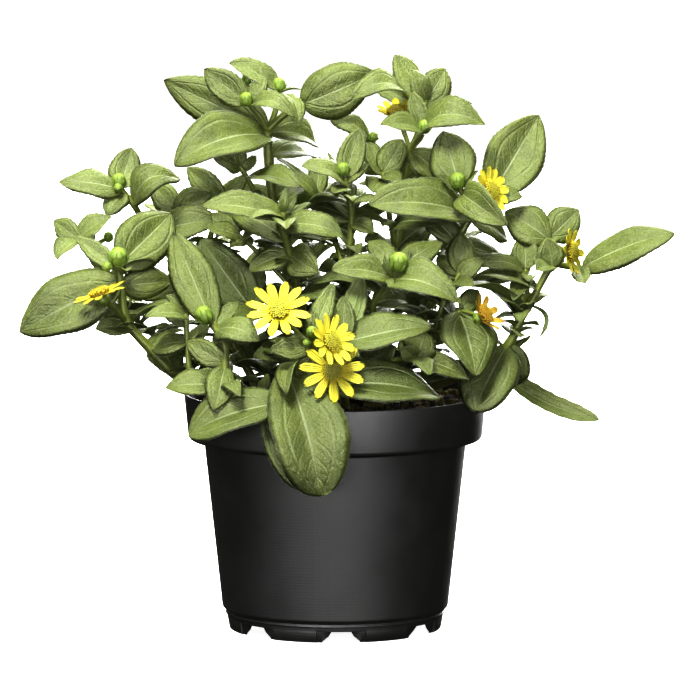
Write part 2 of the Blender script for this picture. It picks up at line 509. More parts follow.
def blade_width(u, leaf):
    """Half the blade's width at u from root (0) to tip (1).

    It is the half width times a power of u / peak and one of (1 - u) / (1 - peak), whose powers
    are in proportion to peak and 1 - peak, so the blade is widest at the peak.
    """
    peak = leaf["peak"]
    body = (u / peak) ** (BLADE_POWER * peak) * ((1 - u) / (1 - peak)) ** (BLADE_POWER * (1 - peak))
    least = np.where(u < 0.5, PETIOLE_HALF, TIP_HALF)
    return np.maximum(body * leaf["width"] / 2, least)


def blade_frame(leaf, u):
    """Points along a leaf's midrib with its side and upper directions there.

    The midrib is a parabola from root to tip, bowed by the arch towards the upper side.
    """
    chord = leaf["tip"] - leaf["root"]
    along = unit(chord)
    up = face_direction(leaf["face"])
    up = unit(up - up.dot(along) * along)
    up = turned(up, along, leaf["roll"])
    bend = (leaf["root"] + leaf["tip"]) / 2 + 2 * leaf["arch"] * up
    u = u[:, None]
    points = (1 - u) ** 2 * leaf["root"] + 2 * u * (1 - u) * bend + u ** 2 * leaf["tip"]
    ahead = units(2 * (1 - u) * (bend - leaf["root"]) + 2 * u * (leaf["tip"] - bend))
    side = units(np.cross(ahead, up))
    return points, side, np.cross(side, ahead)


def sheet_faces(rows):
    """Triangles of a closed sheet of three columns, its lower points numbered after its upper ones."""
    quads, below = grid_faces(rows, 2), 3 * (rows + 1)
    upper = np.vstack([quads[:, [0, 3, 2]], quads[:, [0, 2, 1]]])
    edges = [(3 * i + j, 3 * i + j + 3) for i in range(rows) for j in (0, 2)]
    edges += [(3 * i + j, 3 * i + j + 1) for i in (0, rows) for j in (0, 1)]
    a, b = np.array(edges).T
    rim = np.vstack([np.stack([a, b, b + below], -1), np.stack([a, b + below, a + below], -1)])
    return np.vstack([upper, upper[:, [0, 2, 1]] + below, rim])


def blade_tree(leaf, thickness, widen, first_row=0):
    """A search tree of a leaf's solid, a shallow V along its midrib, from one of its rows on."""
    u = np.linspace(0, 1, TREE_ROWS + 1)
    points, side, up = blade_frame(leaf, u)
    half = (blade_width(u, leaf) + widen)[:, None]
    across = half * np.array((-1.0, 0.0, 1.0))
    sheet = over_frame(points, side, up, across, BLADE_FOLD * np.abs(across))[first_row:]
    offset = up[first_row:, None] * thickness / 2
    points = np.concatenate([(sheet + offset).reshape(-1, 3), (sheet - offset).reshape(-1, 3)])
    return solid_tree(points, sheet_faces(len(sheet) - 1))


def solid_tree(points, faces):
    """A search tree with the box round it."""
    tree = BVHTree.FromPolygons(points.tolist(), faces.tolist())
    return tree, points.min(axis=0), points.max(axis=0)


def tube_tree(points, radius):
    """A search tree of a six-sided tube along the points."""
    points = np.array(points, float)
    last = len(points) - 1
    rings = []
    for i, point in enumerate(points):
        ahead = unit(points[min(i + 1, last)] - points[max(i - 1, 0)])
        side, other = beside(ahead, (0.31, 0.2, 0.93) if abs(ahead[2]) < 0.9 else (1, 0, 0))
        rings += [point + radius * (math.cos(a) * side + math.sin(a) * other)
                  for a in np.arange(6) * math.pi / 3]
    return solid_tree(np.array(rings), grid_faces(last, 6, wrap=True))


def turned_tree(profile, axis_point, axis, sides):
    """A search tree of a profile of (radius, height) turned about an axis."""
    axis = unit(axis)
    side, other = beside(axis, (0.3, 0.9, 0.2))
    points = [np.asarray(axis_point, float) + axis * height
              + radius * (math.cos(a) * side + math.sin(a) * other)
              for radius, height in profile for a in np.arange(sides) * 2 * math.pi / sides]
    return solid_tree(np.array(points), grid_faces(len(profile) - 1, sides, wrap=True))


def fixed_obstacles():
    """What no leaf may touch: pot, soil, stems, buds and blooms.

    Each is (node, tree, tree), like a leaf that stands.
    """
    inside = RIM_RADIUS - 2 * WALL
    lip = [(inside, SOIL_TOP), (inside, POT_HEIGHT), (RIM_RADIUS, POT_HEIGHT),
           (RIM_FOOT_RADIUS, POT_HEIGHT - RIM_DEPTH), (BODY_TOP_RADIUS, POT_HEIGHT - RIM_DEPTH - 1),
           (BODY_FOOT_RADIUS, FOOT_HEIGHT), (FOOT_RADIUS, 0)]
    soil = [(inside, SOIL_TOP + SOIL_LUMP), (1, SOIL_TOP + SOIL_LUMP)]
    upright = (0, 0, 1)
    found = [("pot", turned_tree(lip, (0, 0, 0), upright, 48)),
             ("soil", turned_tree(soil, (0, 0, 0), upright, 48))]
    for name, shoot in SHOOTS.items():
        for points, foot, _ in shoot["routes"]:
            found.append((name, tube_tree(points, foot)))
        for centre, radius in shoot["buds"]:
            ball = [(radius * math.sin(a), -radius * math.cos(a)) for a in np.linspace(0.1, 3.04, 6)]
            found.append((name, turned_tree(ball, centre, upright, 8)))
    for name, (seat, axis, length, _, _, lift) in BLOOMS.items():
        reach, rise = DISC_RADIUS + length, lift * length
        plate = [(0.5, -0.2), (reach, rise - 0.2), (reach, rise + 0.9), (0.5, 2.4)]
        found.append((name, turned_tree(plate, seat, axis, 12)))
    return [(name, tree, tree) for name, tree in found]


def variations():
    """The ways a leaf may give way, the smallest first.

    Each is (shift of the tip in depth, extra roll, extra arch, length kept).
    """
    return [(shift, roll, arch, kept) for kept in WAY_LENGTHS for shift in WAY_SHIFTS
            for roll in WAY_ROLLS for arch in WAY_ARCHES]


def leaf_cost(way):
    """How far a variation lies from the leaf as drawn, each step at its price."""
    return sum(abs(step) * price for step, price in zip((*way[:3], 1 - way[3]), WAY_PRICES))


def leaf_root(points, index, back):
    """Where a leaf leaves its stem: at a point, or a little way back towards the one before."""
    here, before = np.array(points[index], float), np.array(points[max(index - 1, 0)], float)
    gap = max(np.linalg.norm(before - here), 0.001)
    return here + (before - here) * min(back / gap, MOST_BACK)


def in_shade(point):
    """Whether a point lies inside the plant, under a dome lower than its outline."""
    wide, deep, tall = SHADE_DOME
    x, y, z = point
    return (x / wide) ** 2 + (y / deep) ** 2 + ((z - SOIL_TOP) / tall) ** 2 < 1 and y > SHADE_FRONT


def shaded_leaf(name, root, azimuth, lengths, rises, chance):
    """A leaf for the shade, with its length, rise and roll drawn from their ranges."""
    length, rise = chance.uniform(*lengths), chance.uniform(*rises)
    return {"node": name, "root": root, "tip": root + length * heading(azimuth, rise),
            "width": length * FILL_BREADTH, "arch": LEAF_BOW * length, "face": "U",
            "roll": chance.uniform(-FILL_ROLL, FILL_ROLL), "peak": BLADE_PEAK}


def filling_leaves(chance):
    """The shaded leaves inside the plant, that the tables don't name.

    Each long enough step of a route carries an opposite pair near its middle, turned a quarter on
    from the pair before it. A share of the pairs is of larger leaves. Only tips in the shade stay.
    """
    leaves = []
    for name, shoot in SHOOTS.items():
        azimuth = chance.uniform(0, math.pi)
        for points, foot, _ in shoot["routes"]:
            points = np.array(points, float)
            for start, end in zip(points, points[1:]):
                root = start + (end - start) * chance.uniform(*FILL_PLACE)
                azimuth += math.pi / 2 + chance.uniform(-FILL_SWAY, FILL_SWAY)
                if (np.linalg.norm(end - start) < FILL_STEP or root[2] < SOIL_TOP + FILL_HEIGHT
                        or foot < FILL_STEM):
                    continue
                lengths = FILL_LARGE if chance.uniform() < FILL_SHARE else FILL_SMALL
                for side in (0, math.pi):
                    leaf = shaded_leaf(name, root, azimuth + side, lengths, FILL_LIFT, chance)
                    if in_shade(leaf["tip"]):
                        leaves.append(dict(leaf, filling=True))
    return leaves


def placed_blade(leaf):
    """A leaf that stands, as (node, tree of its blade, tree of the blade past its root)."""
    return (leaf["node"], blade_tree(leaf, BLADE_THICKNESS, 0.0),
            blade_tree(leaf, BLADE_THICKNESS, 0.0, OUTER_ROW))


def settled_leaves():
    """Every leaf of the plant but the smallest, each moved as little as it needs to stand clear.

    The leaves of the tables are placed first, the largest first, and then those that fill the
    shade. A leaf tries its variations until none of it meets another node, or a blade or bud of
    its own stem past its root. One that meets only its own stem may stay where it meets least,
    since they are joined, if it isn't a filling one.
    """
    standing = fixed_obstacles()
    ways = sorted(variations(), key=leaf_cost)
    wanted = []
    for name, shoot in SHOOTS.items():
        leaves = all_leaves(shoot)
        for route, point, tip, width, arch, face in leaves:
            above = sum(other[:2] == (route, point) and other[2][2] > tip[2] for other in leaves)
            root = leaf_root(shoot["routes"][route][0], point, above * LEAF_STEP)
            peak = LOW_BLADE_PEAK if tip[2] < POT_HEIGHT else BLADE_PEAK
            wanted.append({"node": name, "root": root, "tip": np.array(tip, float), "width": float(width),
                           "arch": float(arch), "face": face, "roll": 0.0, "peak": peak})
    wanted += filling_leaves(np.random.default_rng(SEED))
    order = sorted(range(len(wanted)), key=lambda i: ("filling" in wanted[i], -wanted[i]["width"]))
    kept = {}
    for index in order:
        leaf, best = wanted[index], None
        for way in ways[:FILL_TRIES] if "filling" in leaf else ways:
            trial = varied(leaf, way)
            outer, inner = meetings(trial, standing)
            if not outer and inner == 0:
                best = trial
                break
            if not outer and "filling" not in leaf and (best is None or inner < best["inner"]):
                best = dict(trial, inner=inner)
        if best is not None:
            kept[index] = best
            standing.append(placed_blade(best))
    return [kept[index] for index in sorted(kept)]


def varied(leaf, way):
    """The leaf with a variation applied; a shift keeps its place as seen from the front."""
    shift, roll, arch, kept = way
    tip = leaf["root"] + (leaf["tip"] - leaf["root"]) * kept
    tip = tip + np.array((0.0, shift, -VIEW_SLOPE * shift))
    return dict(leaf, tip=tip, roll=leaf["roll"] + roll, arch=leaf["arch"] * kept + arch,
                width=leaf["width"] * (0.5 + 0.5 * kept))


def boxes_apart(first, second):
    """Whether the boxes of two trees are apart."""
    return bool(np.any(first[1] > second[2]) or np.any(second[1] > first[2]))


def meetings(leaf, standing):
    """Whether a leaf meets another node, and how many things of its own node it meets."""
    whole = blade_tree(leaf, BLADE_THICKNESS + 2 * CLEARANCE, CLEARANCE)
    blade = blade_tree(leaf, BLADE_THICKNESS + 2 * OWN_CLEARANCE, OWN_CLEARANCE, OUTER_ROW)
    inner = 0
    for name, tree, outer_part in standing:
        own = name == leaf["node"]
        mine, theirs = (blade, outer_part) if own else (whole, tree)
        if not boxes_apart(mine, theirs) and mine[0].overlap(theirs[0]):
            if not own:
                return True, inner
            inner += 1
    return False, inner


def sprig_shares(start, end):
    """How far along a piece of stem its small leaves stand, as even shares of its length."""
    count = max(1, int(np.linalg.norm(np.subtract(end, start)) // SPRIG_STEP))
    return (np.arange(count) + 0.5) / count


def sprig_leaves(leaves):
    """Small leaves of the shade, in pairs beside the stems, wherever they clear all else."""
    chance = np.random.default_rng(SEED + 5)
    standing = fixed_obstacles() + [placed_blade(leaf) for leaf in leaves]
    found = []
    for name, shoot in SHOOTS.items():
        roots = [np.array(start) + np.subtract(end, start) * share for points, _, _ in shoot["routes"]
                 for start, end in zip(points, points[1:]) for share in sprig_shares(start, end)]
        for root in roots:
            azimuth = chance.uniform(0, math.pi)
            for side in (0, math.pi):
                leaf = shaded_leaf(name, root, azimuth + side, SPRIG_LENGTH, SPRIG_RISE, chance)
                if (root[2] > SOIL_TOP + FILL_HEIGHT and in_shade(leaf["tip"])
                        and meetings(leaf, standing) == (False, 0)):
                    found.append(leaf)
                    standing.append(placed_blade(leaf))
    return found


LEAVES = settled_leaves()
LEAVES += sprig_leaves(LEAVES)


def cups_of(name):
    """The green cup under each bloom of a stem, as (centre, radius, way it faces)."""
    cups = []
    for stem, bloom in CARRIED:
        if stem == name:
            seat, axis = BLOOMS[bloom][:2]
            centre = tuple(np.array(seat) - unit(axis) * (CUP_RADIUS + SEAT_GAP))
            cups.append((centre, CUP_RADIUS, axis))
    return cups


def nearest_end(shoot, centre):
    """The end of the route that lies nearest to a bud or cup."""
    ends = [points[-1] for points, _, _ in shoot["routes"]]
    return min(ends, key=lambda end: np.linalg.norm(np.subtract(end, centre)))


class ZinniaSizes(bpy.types.PropertyGroup):
    """Sizes of the fine detail."""

    tooth_depth: bpy.props.FloatProperty(
        name="Leaf teeth", description="Depth of the teeth along a leaf's margin",
        default=0.00045, unit="LENGTH")
    leaf_wave: bpy.props.FloatProperty(
        name="Leaf wave", description="Rise of the waves along a margin, as a share of the leaf's width",
        default=0.045, subtype="FACTOR")
    hair_length: bpy.props.FloatProperty(
        name="Hair length", description="Length of the hairs on leaves and stems",
        default=0.0007, unit="LENGTH")
    crumb_size: bpy.props.FloatProperty(
        name="Soil crumb", description="Width of a usual crumb of soil",
        default=0.0019, unit="LENGTH")


def colour_property(name, description, value):
    """A colour that a user may change."""
    return bpy.props.FloatVectorProperty(name=name, description=description, subtype="COLOR", size=4,
                                         min=0.0, max=1.0, default=value)


class ZinniaColours(bpy.types.PropertyGroup):
    """Colours of the plant, pot and stage."""

    leaf: colour_property("Leaf", "Upper side of a grown leaf", (0.150, 0.188, 0.029, 1.0))
    young_leaf: colour_property("Young leaf", "Leaf near a shoot's tip", (0.226, 0.276, 0.075, 1.0))
    old_leaf: colour_property("Old leaf", "Shaded leaf low on the plant", (0.036, 0.054, 0.003, 1.0))
    underside: colour_property("Underside", "Lower side of a leaf", (0.24, 0.30, 0.10, 1.0))
    down: colour_property("Down", "Pale hairs and veins", (0.62, 0.68, 0.46, 1.0))
    gloss: colour_property("Gloss", "Tint of the shine on green parts", (0.96, 1.0, 0.80, 1.0))
    stem: colour_property("Stem", "Leafy stems", (0.165, 0.19, 0.025, 1.0))
    old_stem: colour_property("Stem foot", "Foot of the stems", (0.11, 0.095, 0.015, 1.0))
    bud: colour_property("Bud", "Green buds", (0.26, 0.37, 0.07, 1.0))
    petal: colour_property("Petal", "Yellow rays", (0.90, 0.86, 0.11, 1.0))
    petal_base: colour_property("Petal base", "Foot of the rays", (0.80, 0.64, 0.03, 1.0))
    faded_petal: colour_property("Faded petal", "Rays and florets of old blooms", (0.40, 0.20, 0.02, 1.0))
    disc: colour_property("Disc", "Florets of the disc", (0.50, 0.42, 0.03, 1.0))
    disc_heart: colour_property("Disc heart", "Unopened florets", (0.11, 0.11, 0.010, 1.0))
    pot: colour_property("Pot", "Black plastic", (0.0105, 0.0108, 0.0112, 1.0))
    soil: colour_property("Soil", "Potting mix", (0.016, 0.010, 0.008, 1.0))
    grit: colour_property("Grit", "Pale grains in the soil", (0.42, 0.30, 0.25, 1.0))
    floor: colour_property("Floor", "Floor and backdrop", (0.95, 0.95, 0.95, 1.0))


def sizes():
    """The scene's size settings."""
    return bpy.context.scene.zinnia_sizes


def colours():
    """The scene's colour settings."""
    return bpy.context.scene.zinnia_colours


def add_node(tree, kind, inputs=None, **settings):
    """A shader node with its settings, and its inputs linked or set."""
    made = tree.nodes.new(kind)
    for key, value in settings.items():
        setattr(made, key, value)
    for key, value in (inputs or {}).items():
        if isinstance(value, bpy.types.NodeSocket):
            tree.links.new(value, made.inputs[key])
        else:
            made.inputs[key].default_value = value
    return made


def calc(tree, operation, first, second=0.0):
    """The output of one step of arithmetic."""
    return add_node(tree, "ShaderNodeMath", {0: first, 1: second}, operation=operation).outputs[0]


def times(tree, first, second):
    """The product of two values."""
    return calc(tree, "MULTIPLY", first, second)


def ramp(tree, value, low, high, start=0.0, end=1.0):
    """The value taken smoothly from one range to another."""
    made = add_node(tree, "ShaderNodeMapRange", {"Value": value, "From Min": low, "From Max": high,
                                                 "To Min": start, "To Max": end},
                    interpolation_type="SMOOTHSTEP")
    return made.outputs["Result"]


def blend(tree, share, first, second):
    """Two colours mixed by a share."""
    made = add_node(tree, "ShaderNodeMix", {"Factor": share}, data_type="RGBA")
    for slot, value in ((6, first), (7, second)):
        if isinstance(value, bpy.types.NodeSocket):
            tree.links.new(value, made.inputs[slot])
        else:
            made.inputs[slot].default_value = tuple(value)
    return made.outputs[2]


def noise(tree, place, scale, detail=3.0, roughness=0.5):
    """Fractal noise at a place."""
    made = add_node(tree, "ShaderNodeTexNoise",
                    {"Vector": place, "Scale": scale, "Detail": detail, "Roughness": roughness})
    return made.outputs[0]


def attribute(tree, name):
    """A value stored on the mesh."""
    return add_node(tree, "ShaderNodeAttribute", attribute_name=name).outputs["Fac"]


def new_material(name, roughness, sheen=0.0, sheen_tint=None, specular=0.5, gloss_tint=None):
    """A Principled material, with its tree, shader and the object's own coordinates."""
    made = bpy.data.materials.new(name)
    made.use_nodes = True
    tree = made.node_tree
    shader = tree.nodes["Principled BSDF"]
    shader.inputs["Roughness"].default_value = roughness
    shader.inputs["Specular IOR Level"].default_value = specular
    shader.inputs["Sheen Weight"].default_value = sheen
    shader.inputs["Sheen Roughness"].default_value = 0.5
    if sheen_tint is not None:
        shader.inputs["Sheen Tint"].default_value = tuple(sheen_tint)
    if gloss_tint is not None:
        shader.inputs["Specular Tint"].default_value = tuple(gloss_tint)
    place = add_node(tree, "ShaderNodeTexCoord").outputs["Object"]
    return made, tree, shader, place


def finish(tree, shader, colour, height, depth, strength):
    """Link a colour and a bump of a height, with the bump's depth in metres."""
    tree.links.new(colour, shader.inputs["Base Color"])
    made = add_node(tree, "ShaderNodeBump", {"Height": height, "Distance": depth, "Strength": strength})
    tree.links.new(made.outputs["Normal"], shader.inputs["Normal"])


def curve_of(tree, value, points):
    """A value read through a smooth curve given by its points."""
    made = add_node(tree, "ShaderNodeFloatCurve", {"Value": value})
    line = made.mapping.curves[0]
    line.points[0].location = points[0]
    line.points[1].location = points[-1]
    for x, y in points[1:-1]:
        line.points.new(x, y)
    made.mapping.update()
    return made.outputs[0]


# Side veins: how far they lean towards the tip across the half blade, how many rows of them there
# are, and where across the half blade the lowest pair lies along the leaf
VEIN_LEAN = 0.42
VEIN_COUNT = 7.0
SIDE_VEIN = [(0.0, 0.0), (0.06, 0.05), (0.16, 0.28), (0.34, 0.50), (0.55, 0.60), (0.8, 0.48), (1.0, 0.1)]


def vein_lines(tree, along, across):
    """Side veins as a mask: the lowest pair, and rows that leave the midrib and lean forward.

    A row lies where along - VEIN_LEAN across ^ 1.25, times VEIN_COUNT, passes a whole number.
    """
    off = calc(tree, "ABSOLUTE", calc(tree, "SUBTRACT", across, curve_of(tree, along, SIDE_VEIN)))
    lowest = ramp(tree, off, 0.0, 0.08, 1.0, 0.0)
    lean = times(tree, calc(tree, "POWER", across, 1.25), VEIN_LEAN)
    saw = calc(tree, "PINGPONG", times(tree, calc(tree, "SUBTRACT", along, lean), VEIN_COUNT), 0.5)
    rows = ramp(tree, saw, 0.0, 0.16, 0.38, 0.0)
    rows = times(tree, rows, ramp(tree, across, 0.55, 0.95, 1.0, 0.0))
    return calc(tree, "MAXIMUM", lowest, rows)


# Scales of the patterns on each material, as features in a metre
LEAF_NET, LEAF_GRAIN, LEAF_PATCH, LEAF_SWELLS = 620.0, 1500.0, 110.0, 260.0
STEM_STREAK, STEM_SPECKLE = 400.0, 2400.0
BUD_PATCH, BUD_GRAIN = 900.0, 1500.0
DISC_GRAIN = 2500.0
SOIL_GRAIN, SOIL_GRIT = 700.0, 1500.0
CRUMB_PATCH, CRUMB_GRAIN = 1800.0, 1600.0
POT_GRAIN, POT_DUST, POT_POLISH = 1400.0, 60.0, 45.0
HAIR_PATCH = 300.0
# Waves of a ray's grooves across its half width, and of the pot's flow bands in a metre of
# height, both in radians
GROOVES = 15.0
FLOW_BANDS = 5200.0


def leaf_material():
    """Downy leaf: midrib that fades towards the tip, sunken side veins and a faintly frosted blade."""
    tones = colours()
    made, tree, shader, place = new_material("leaf", 0.46, 0.06, tones.down, 0.6, tones.gloss)
    along = attribute(tree, "along")
    across = calc(tree, "ABSOLUTE", attribute(tree, "across"))
    age = attribute(tree, "age")
    rib = ramp(tree, across, 0.012, 0.055, 1.0, 0.0)
    veins = vein_lines(tree, along, across)
    cells = add_node(tree, "ShaderNodeTexVoronoi", {"Vector": place, "Scale": LEAF_NET},
                     feature="DISTANCE_TO_EDGE")
    net = ramp(tree, cells.outputs["Distance"], 0.0, 0.16, 1.0, 0.0)
    grain = noise(tree, place, LEAF_GRAIN, 4.0, 0.75)
    frost = ramp(tree, grain, 0.45, 0.75)
    blade = blend(tree, ramp(tree, age, 0.1, 0.5), tones.young_leaf, tones.leaf)
    lit = calc(tree, "SUBTRACT", 1.0, times(tree, age, 0.8))
    for share, tone in (
            (ramp(tree, age, 0.45, 1.0), tones.old_leaf),
            (ramp(tree, noise(tree, place, LEAF_PATCH), 0.38, 0.72, 0.0, 0.5), tones.old_leaf),
            (times(tree, attribute(tree, "tint"), 0.25), tones.young_leaf),
            (ramp(tree, grain, 0.5, 0.3, 0.0, 0.45), tones.old_leaf),
            (times(tree, net, 0.12), tones.old_leaf),
            (times(tree, attribute(tree, "under"), 0.75), tones.underside),
            (times(tree, times(tree, frost, 0.5), lit), tones.down),
            (times(tree, veins, 0.07), tones.down),
            (times(tree, rib, ramp(tree, along, 0.3, 1.0, 0.36, 0.08)), tones.down),
            (ramp(tree, across, 0.93, 1.0, 0.0, 0.35), tones.down)):
        blade = blend(tree, share, blade, tone)
    height = calc(tree, "ADD", times(tree, veins, -0.65), times(tree, rib, -0.4))
    for part in (times(tree, frost, 0.22), times(tree, net, -0.15),
                 times(tree, noise(tree, place, LEAF_SWELLS, 2.0), 1.3)):
        height = calc(tree, "ADD", height, part)
    finish(tree, shader, blade, height, 0.0005, 0.8)
    return made


def stem_material():
    """Fleshy stem: green, browner at the foot, with fine streaks and pale specks of down."""
    tones = colours()
    made, tree, shader, place = new_material("stem", 0.5, 0.15, tones.down, 0.45, tones.gloss)
    streak = noise(tree, place, STEM_STREAK)
    bark = blend(tree, attribute(tree, "foot"), tones.stem, tones.old_stem)
    bark = blend(tree, ramp(tree, streak, 0.4, 0.7, 0.0, 0.2), bark, tones.bud)
    speckle = ramp(tree, noise(tree, place, STEM_SPECKLE, 2.0, 0.7), 0.55, 0.7, 0.0, 0.25)
    finish(tree, shader, blend(tree, speckle, bark, tones.down), streak, 0.0003, 0.6)
    return made


def bud_material():
    """Green bud with darker seams between its scales and a slightly yellower crown."""
    tones = colours()
    made, tree, shader, place = new_material("bud", 0.5, 0.1, tones.down, 0.4, tones.gloss)
    skin = blend(tree, ramp(tree, attribute(tree, "along"), 0.7, 1.0, 0.0, 0.1), tones.bud, tones.petal)
    skin = blend(tree, ramp(tree, attribute(tree, "across"), 0.0, 0.6, 0.9, 0.0), skin, tones.old_leaf)
    skin = blend(tree, ramp(tree, noise(tree, place, BUD_PATCH), 0.4, 0.7, 0.0, 0.3), skin, tones.stem)
    finish(tree, shader, skin, noise(tree, place, BUD_GRAIN), 0.0002, 0.5)
    return made


def petal_material():
    """Yellow ray: orange foot, grooves along it and a soft sheen."""
    tones = colours()
    made, tree, shader, _ = new_material("petal", 0.5, 0.15, tones.petal, 0.3)
    along = attribute(tree, "along")
    groove = calc(tree, "SINE", times(tree, attribute(tree, "across"), GROOVES))
    skin = blend(tree, ramp(tree, along, 0.0, 0.45, 0.8, 0.0), tones.petal, tones.petal_base)
    skin = blend(tree, ramp(tree, groove, 0.2, 1.0, 0.0, 0.22), skin, tones.petal_base)
    skin = blend(tree, times(tree, attribute(tree, "tint"), 0.22), skin, tones.petal_base)
    faded = times(tree, attribute(tree, "faded"), ramp(tree, along, 0.1, 1.0, 0.5, 0.9))
    finish(tree, shader, blend(tree, faded, skin, tones.faded_petal), groove, 0.00025, 0.6)
    return made


def disc_material():
    """Disc florets: yellow at their mouths, and green-brown between them and at the heart."""
    tones = colours()
    made, tree, shader, place = new_material("disc_floret", 0.6, 0.1, tones.petal, 0.3)
    skin = blend(tree, ramp(tree, attribute(tree, "tint"), 0.1, 0.8), tones.disc, tones.disc_heart)
    skin = blend(tree, ramp(tree, attribute(tree, "along"), 0.3, 1.0, 0.0, 0.6), skin, tones.petal)
    skin = blend(tree, times(tree, attribute(tree, "faded"), 0.7), skin, tones.faded_petal)
    finish(tree, shader, skin, noise(tree, place, DISC_GRAIN), 0.0002, 0.5)
    return made


def soil_material():
    """Dark peaty mix with damp patches and pale specks."""
    tones = colours()
    made, tree, shader, place = new_material("soil", 0.95, 0.0, None, 0.25)
    grain = noise(tree, place, SOIL_GRAIN, 5.0, 0.65)
    specks = ramp(tree, noise(tree, place, SOIL_GRIT, 2.0), 0.68, 0.74, 0.0, 0.5)
    skin = blend(tree, ramp(tree, grain, 0.45, 0.75, 0.0, 0.5), tones.soil, tones.old_stem)
    finish(tree, shader, blend(tree, specks, skin, tones.grit), grain, 0.0016, 1.0)
    return made


def crumb_material():
    """Crumbs of bark and peat, with a few pale grains."""
    tones = colours()
    made, tree, shader, place = new_material("crumb", 0.9, 0.0, None, 0.3)
    tint = attribute(tree, "tint")
    skin = blend(tree, ramp(tree, tint, 0.2, 0.8), tones.soil, tones.old_stem)
    skin = blend(tree, ramp(tree, tint, 0.9, 0.93), skin, tones.grit)
    skin = blend(tree, ramp(tree, noise(tree, place, CRUMB_PATCH), 0.5, 0.7, 0.0, 0.4), skin, tones.soil)
    finish(tree, shader, skin, noise(tree, place, CRUMB_GRAIN, 4.0), 0.0006, 0.8)
    return made


def pot_material():
    """Moulded black plastic: fine grain, faint flow bands, thin dust and uneven polish."""
    tones = colours()
    made, tree, shader, place = new_material("pot_plastic", 0.42, 0.0, None, 0.75)
    height = add_node(tree, "ShaderNodeSeparateXYZ", {"Vector": place}).outputs["Z"]
    bands = times(tree, calc(tree, "SINE", times(tree, height, FLOW_BANDS)), 0.2)
    dust = ramp(tree, noise(tree, place, POT_DUST, 5.0, 0.6), 0.5, 0.85, 0.0, 0.012)
    rough = ramp(tree, noise(tree, place, POT_POLISH, 5.0, 0.65), 0.3, 0.7, 0.47, 0.57)
    tree.links.new(rough, shader.inputs["Roughness"])
    relief = calc(tree, "ADD", noise(tree, place, POT_GRAIN), bands)
    finish(tree, shader, blend(tree, dust, tones.pot, tones.grit), relief, 0.00008, 0.3)
    return made


def hair_material():
    """Pale fine hairs."""
    tones = colours()
    made, tree, shader, place = new_material("hair", 0.5, 0.0, None, 0.4)
    skin = blend(tree, noise(tree, place, HAIR_PATCH), tones.down, tones.underside)
    tree.links.new(skin, shader.inputs["Base Color"])
    return made


def material(maker):
    """The material of a maker function, made once."""
    name = maker.__name__.removesuffix("_material")
    found = bpy.data.materials.get({"disc": "disc_floret", "pot": "pot_plastic"}.get(name, name))
    return found or maker()


def add_object(name, data):
    """A new object of the scene."""
    made = bpy.data.objects.new(name, data)
    bpy.context.scene.collection.objects.link(made)
    return made


class Patches:
    """Surfaces gathered into one mesh: points in mm, faces and named values at the points."""

    def __init__(self, *names):
        self.names = names
        self.points, self.faces, self.values, self.count = [], [], [], 0

    def add(self, points, faces, **values):
        """Add a surface whose faces number its own points from zero."""
        points = np.asarray(points, float).reshape(-1, 3)
        self.points.append(points)
        self.faces += [np.asarray(part) + self.count for part in faces]
        columns = [np.broadcast_to(np.asarray(values[name], float).ravel(), len(points))
                   for name in self.names]
        self.values.append(np.stack(columns, -1) if columns else np.zeros((len(points), 0)))
        self.count += len(points)

    def weld(self):
        """Join the points that lie at one place, where surfaces meet."""
        points = np.concatenate(self.points)
        _, first, same = np.unique(np.round(points, 3), axis=0, return_index=True, return_inverse=True)
        self.points, self.values = [points[first]], [np.concatenate(self.values)[first]]
        self.faces = [same.ravel()[part] for part in self.faces]

    def make(self, name, maker, slot, nodes, smooth=True):
        """The object of the gathered surfaces, riding on the plant and standing for its nodes."""
        points, values = np.concatenate(self.points), np.concatenate(self.values)
        loops = np.concatenate([part.ravel() for part in self.faces])
        sides = np.concatenate([np.full(len(part), part.shape[1]) for part in self.faces])
        mesh = bpy.data.meshes.new(name)
        mesh.vertices.add(len(points))
        mesh.vertices.foreach_set("co", (points * MM).ravel())
        mesh.loops.add(len(loops))
        mesh.loops.foreach_set("vertex_index", loops.astype(np.int32))
        mesh.polygons.add(len(sides))
        starts = np.concatenate([[0], np.cumsum(sides)[:-1]])
        mesh.polygons.foreach_set("loop_start", starts.astype(np.int32))
        mesh.polygons.foreach_set("use_smooth", np.full(len(sides), smooth))
        mesh.update(calc_edges=True)
        for column, label in enumerate(self.names):
            stored = mesh.attributes.new(label, "FLOAT", "POINT")
            stored.data.foreach_set("value", values[:, column].astype(np.float32))
        mesh.materials.append(material(maker))
        made = add_object(name, mesh)
        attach(made, BODY)
        if nodes:
            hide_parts(*nodes)
        return made


def smooth_route(points, radii, steps):
    """A Catmull-Rom curve through the points, with its radius eased the same way.

    Between two points each place is the cubic that passes both with slopes taken from their
    neighbours.
    """
    points = np.column_stack([np.array(points, float), radii])
    ends = np.vstack([2 * points[0] - points[1], points, 2 * points[-1] - points[-2]])
    t = np.linspace(0, 1, steps, endpoint=False)[:, None]
    runs = []
    for a, b, c, d in zip(ends, ends[1:], ends[2:], ends[3:]):
        runs.append(0.5 * (2 * b + (c - a) * t + (2 * a - 5 * b + 4 * c - d) * t ** 2
                           + (3 * b - a - 3 * c + d) * t ** 3))
    line = np.vstack(runs + [points[-1:]])
    return line[:, :3], line[:, 3]


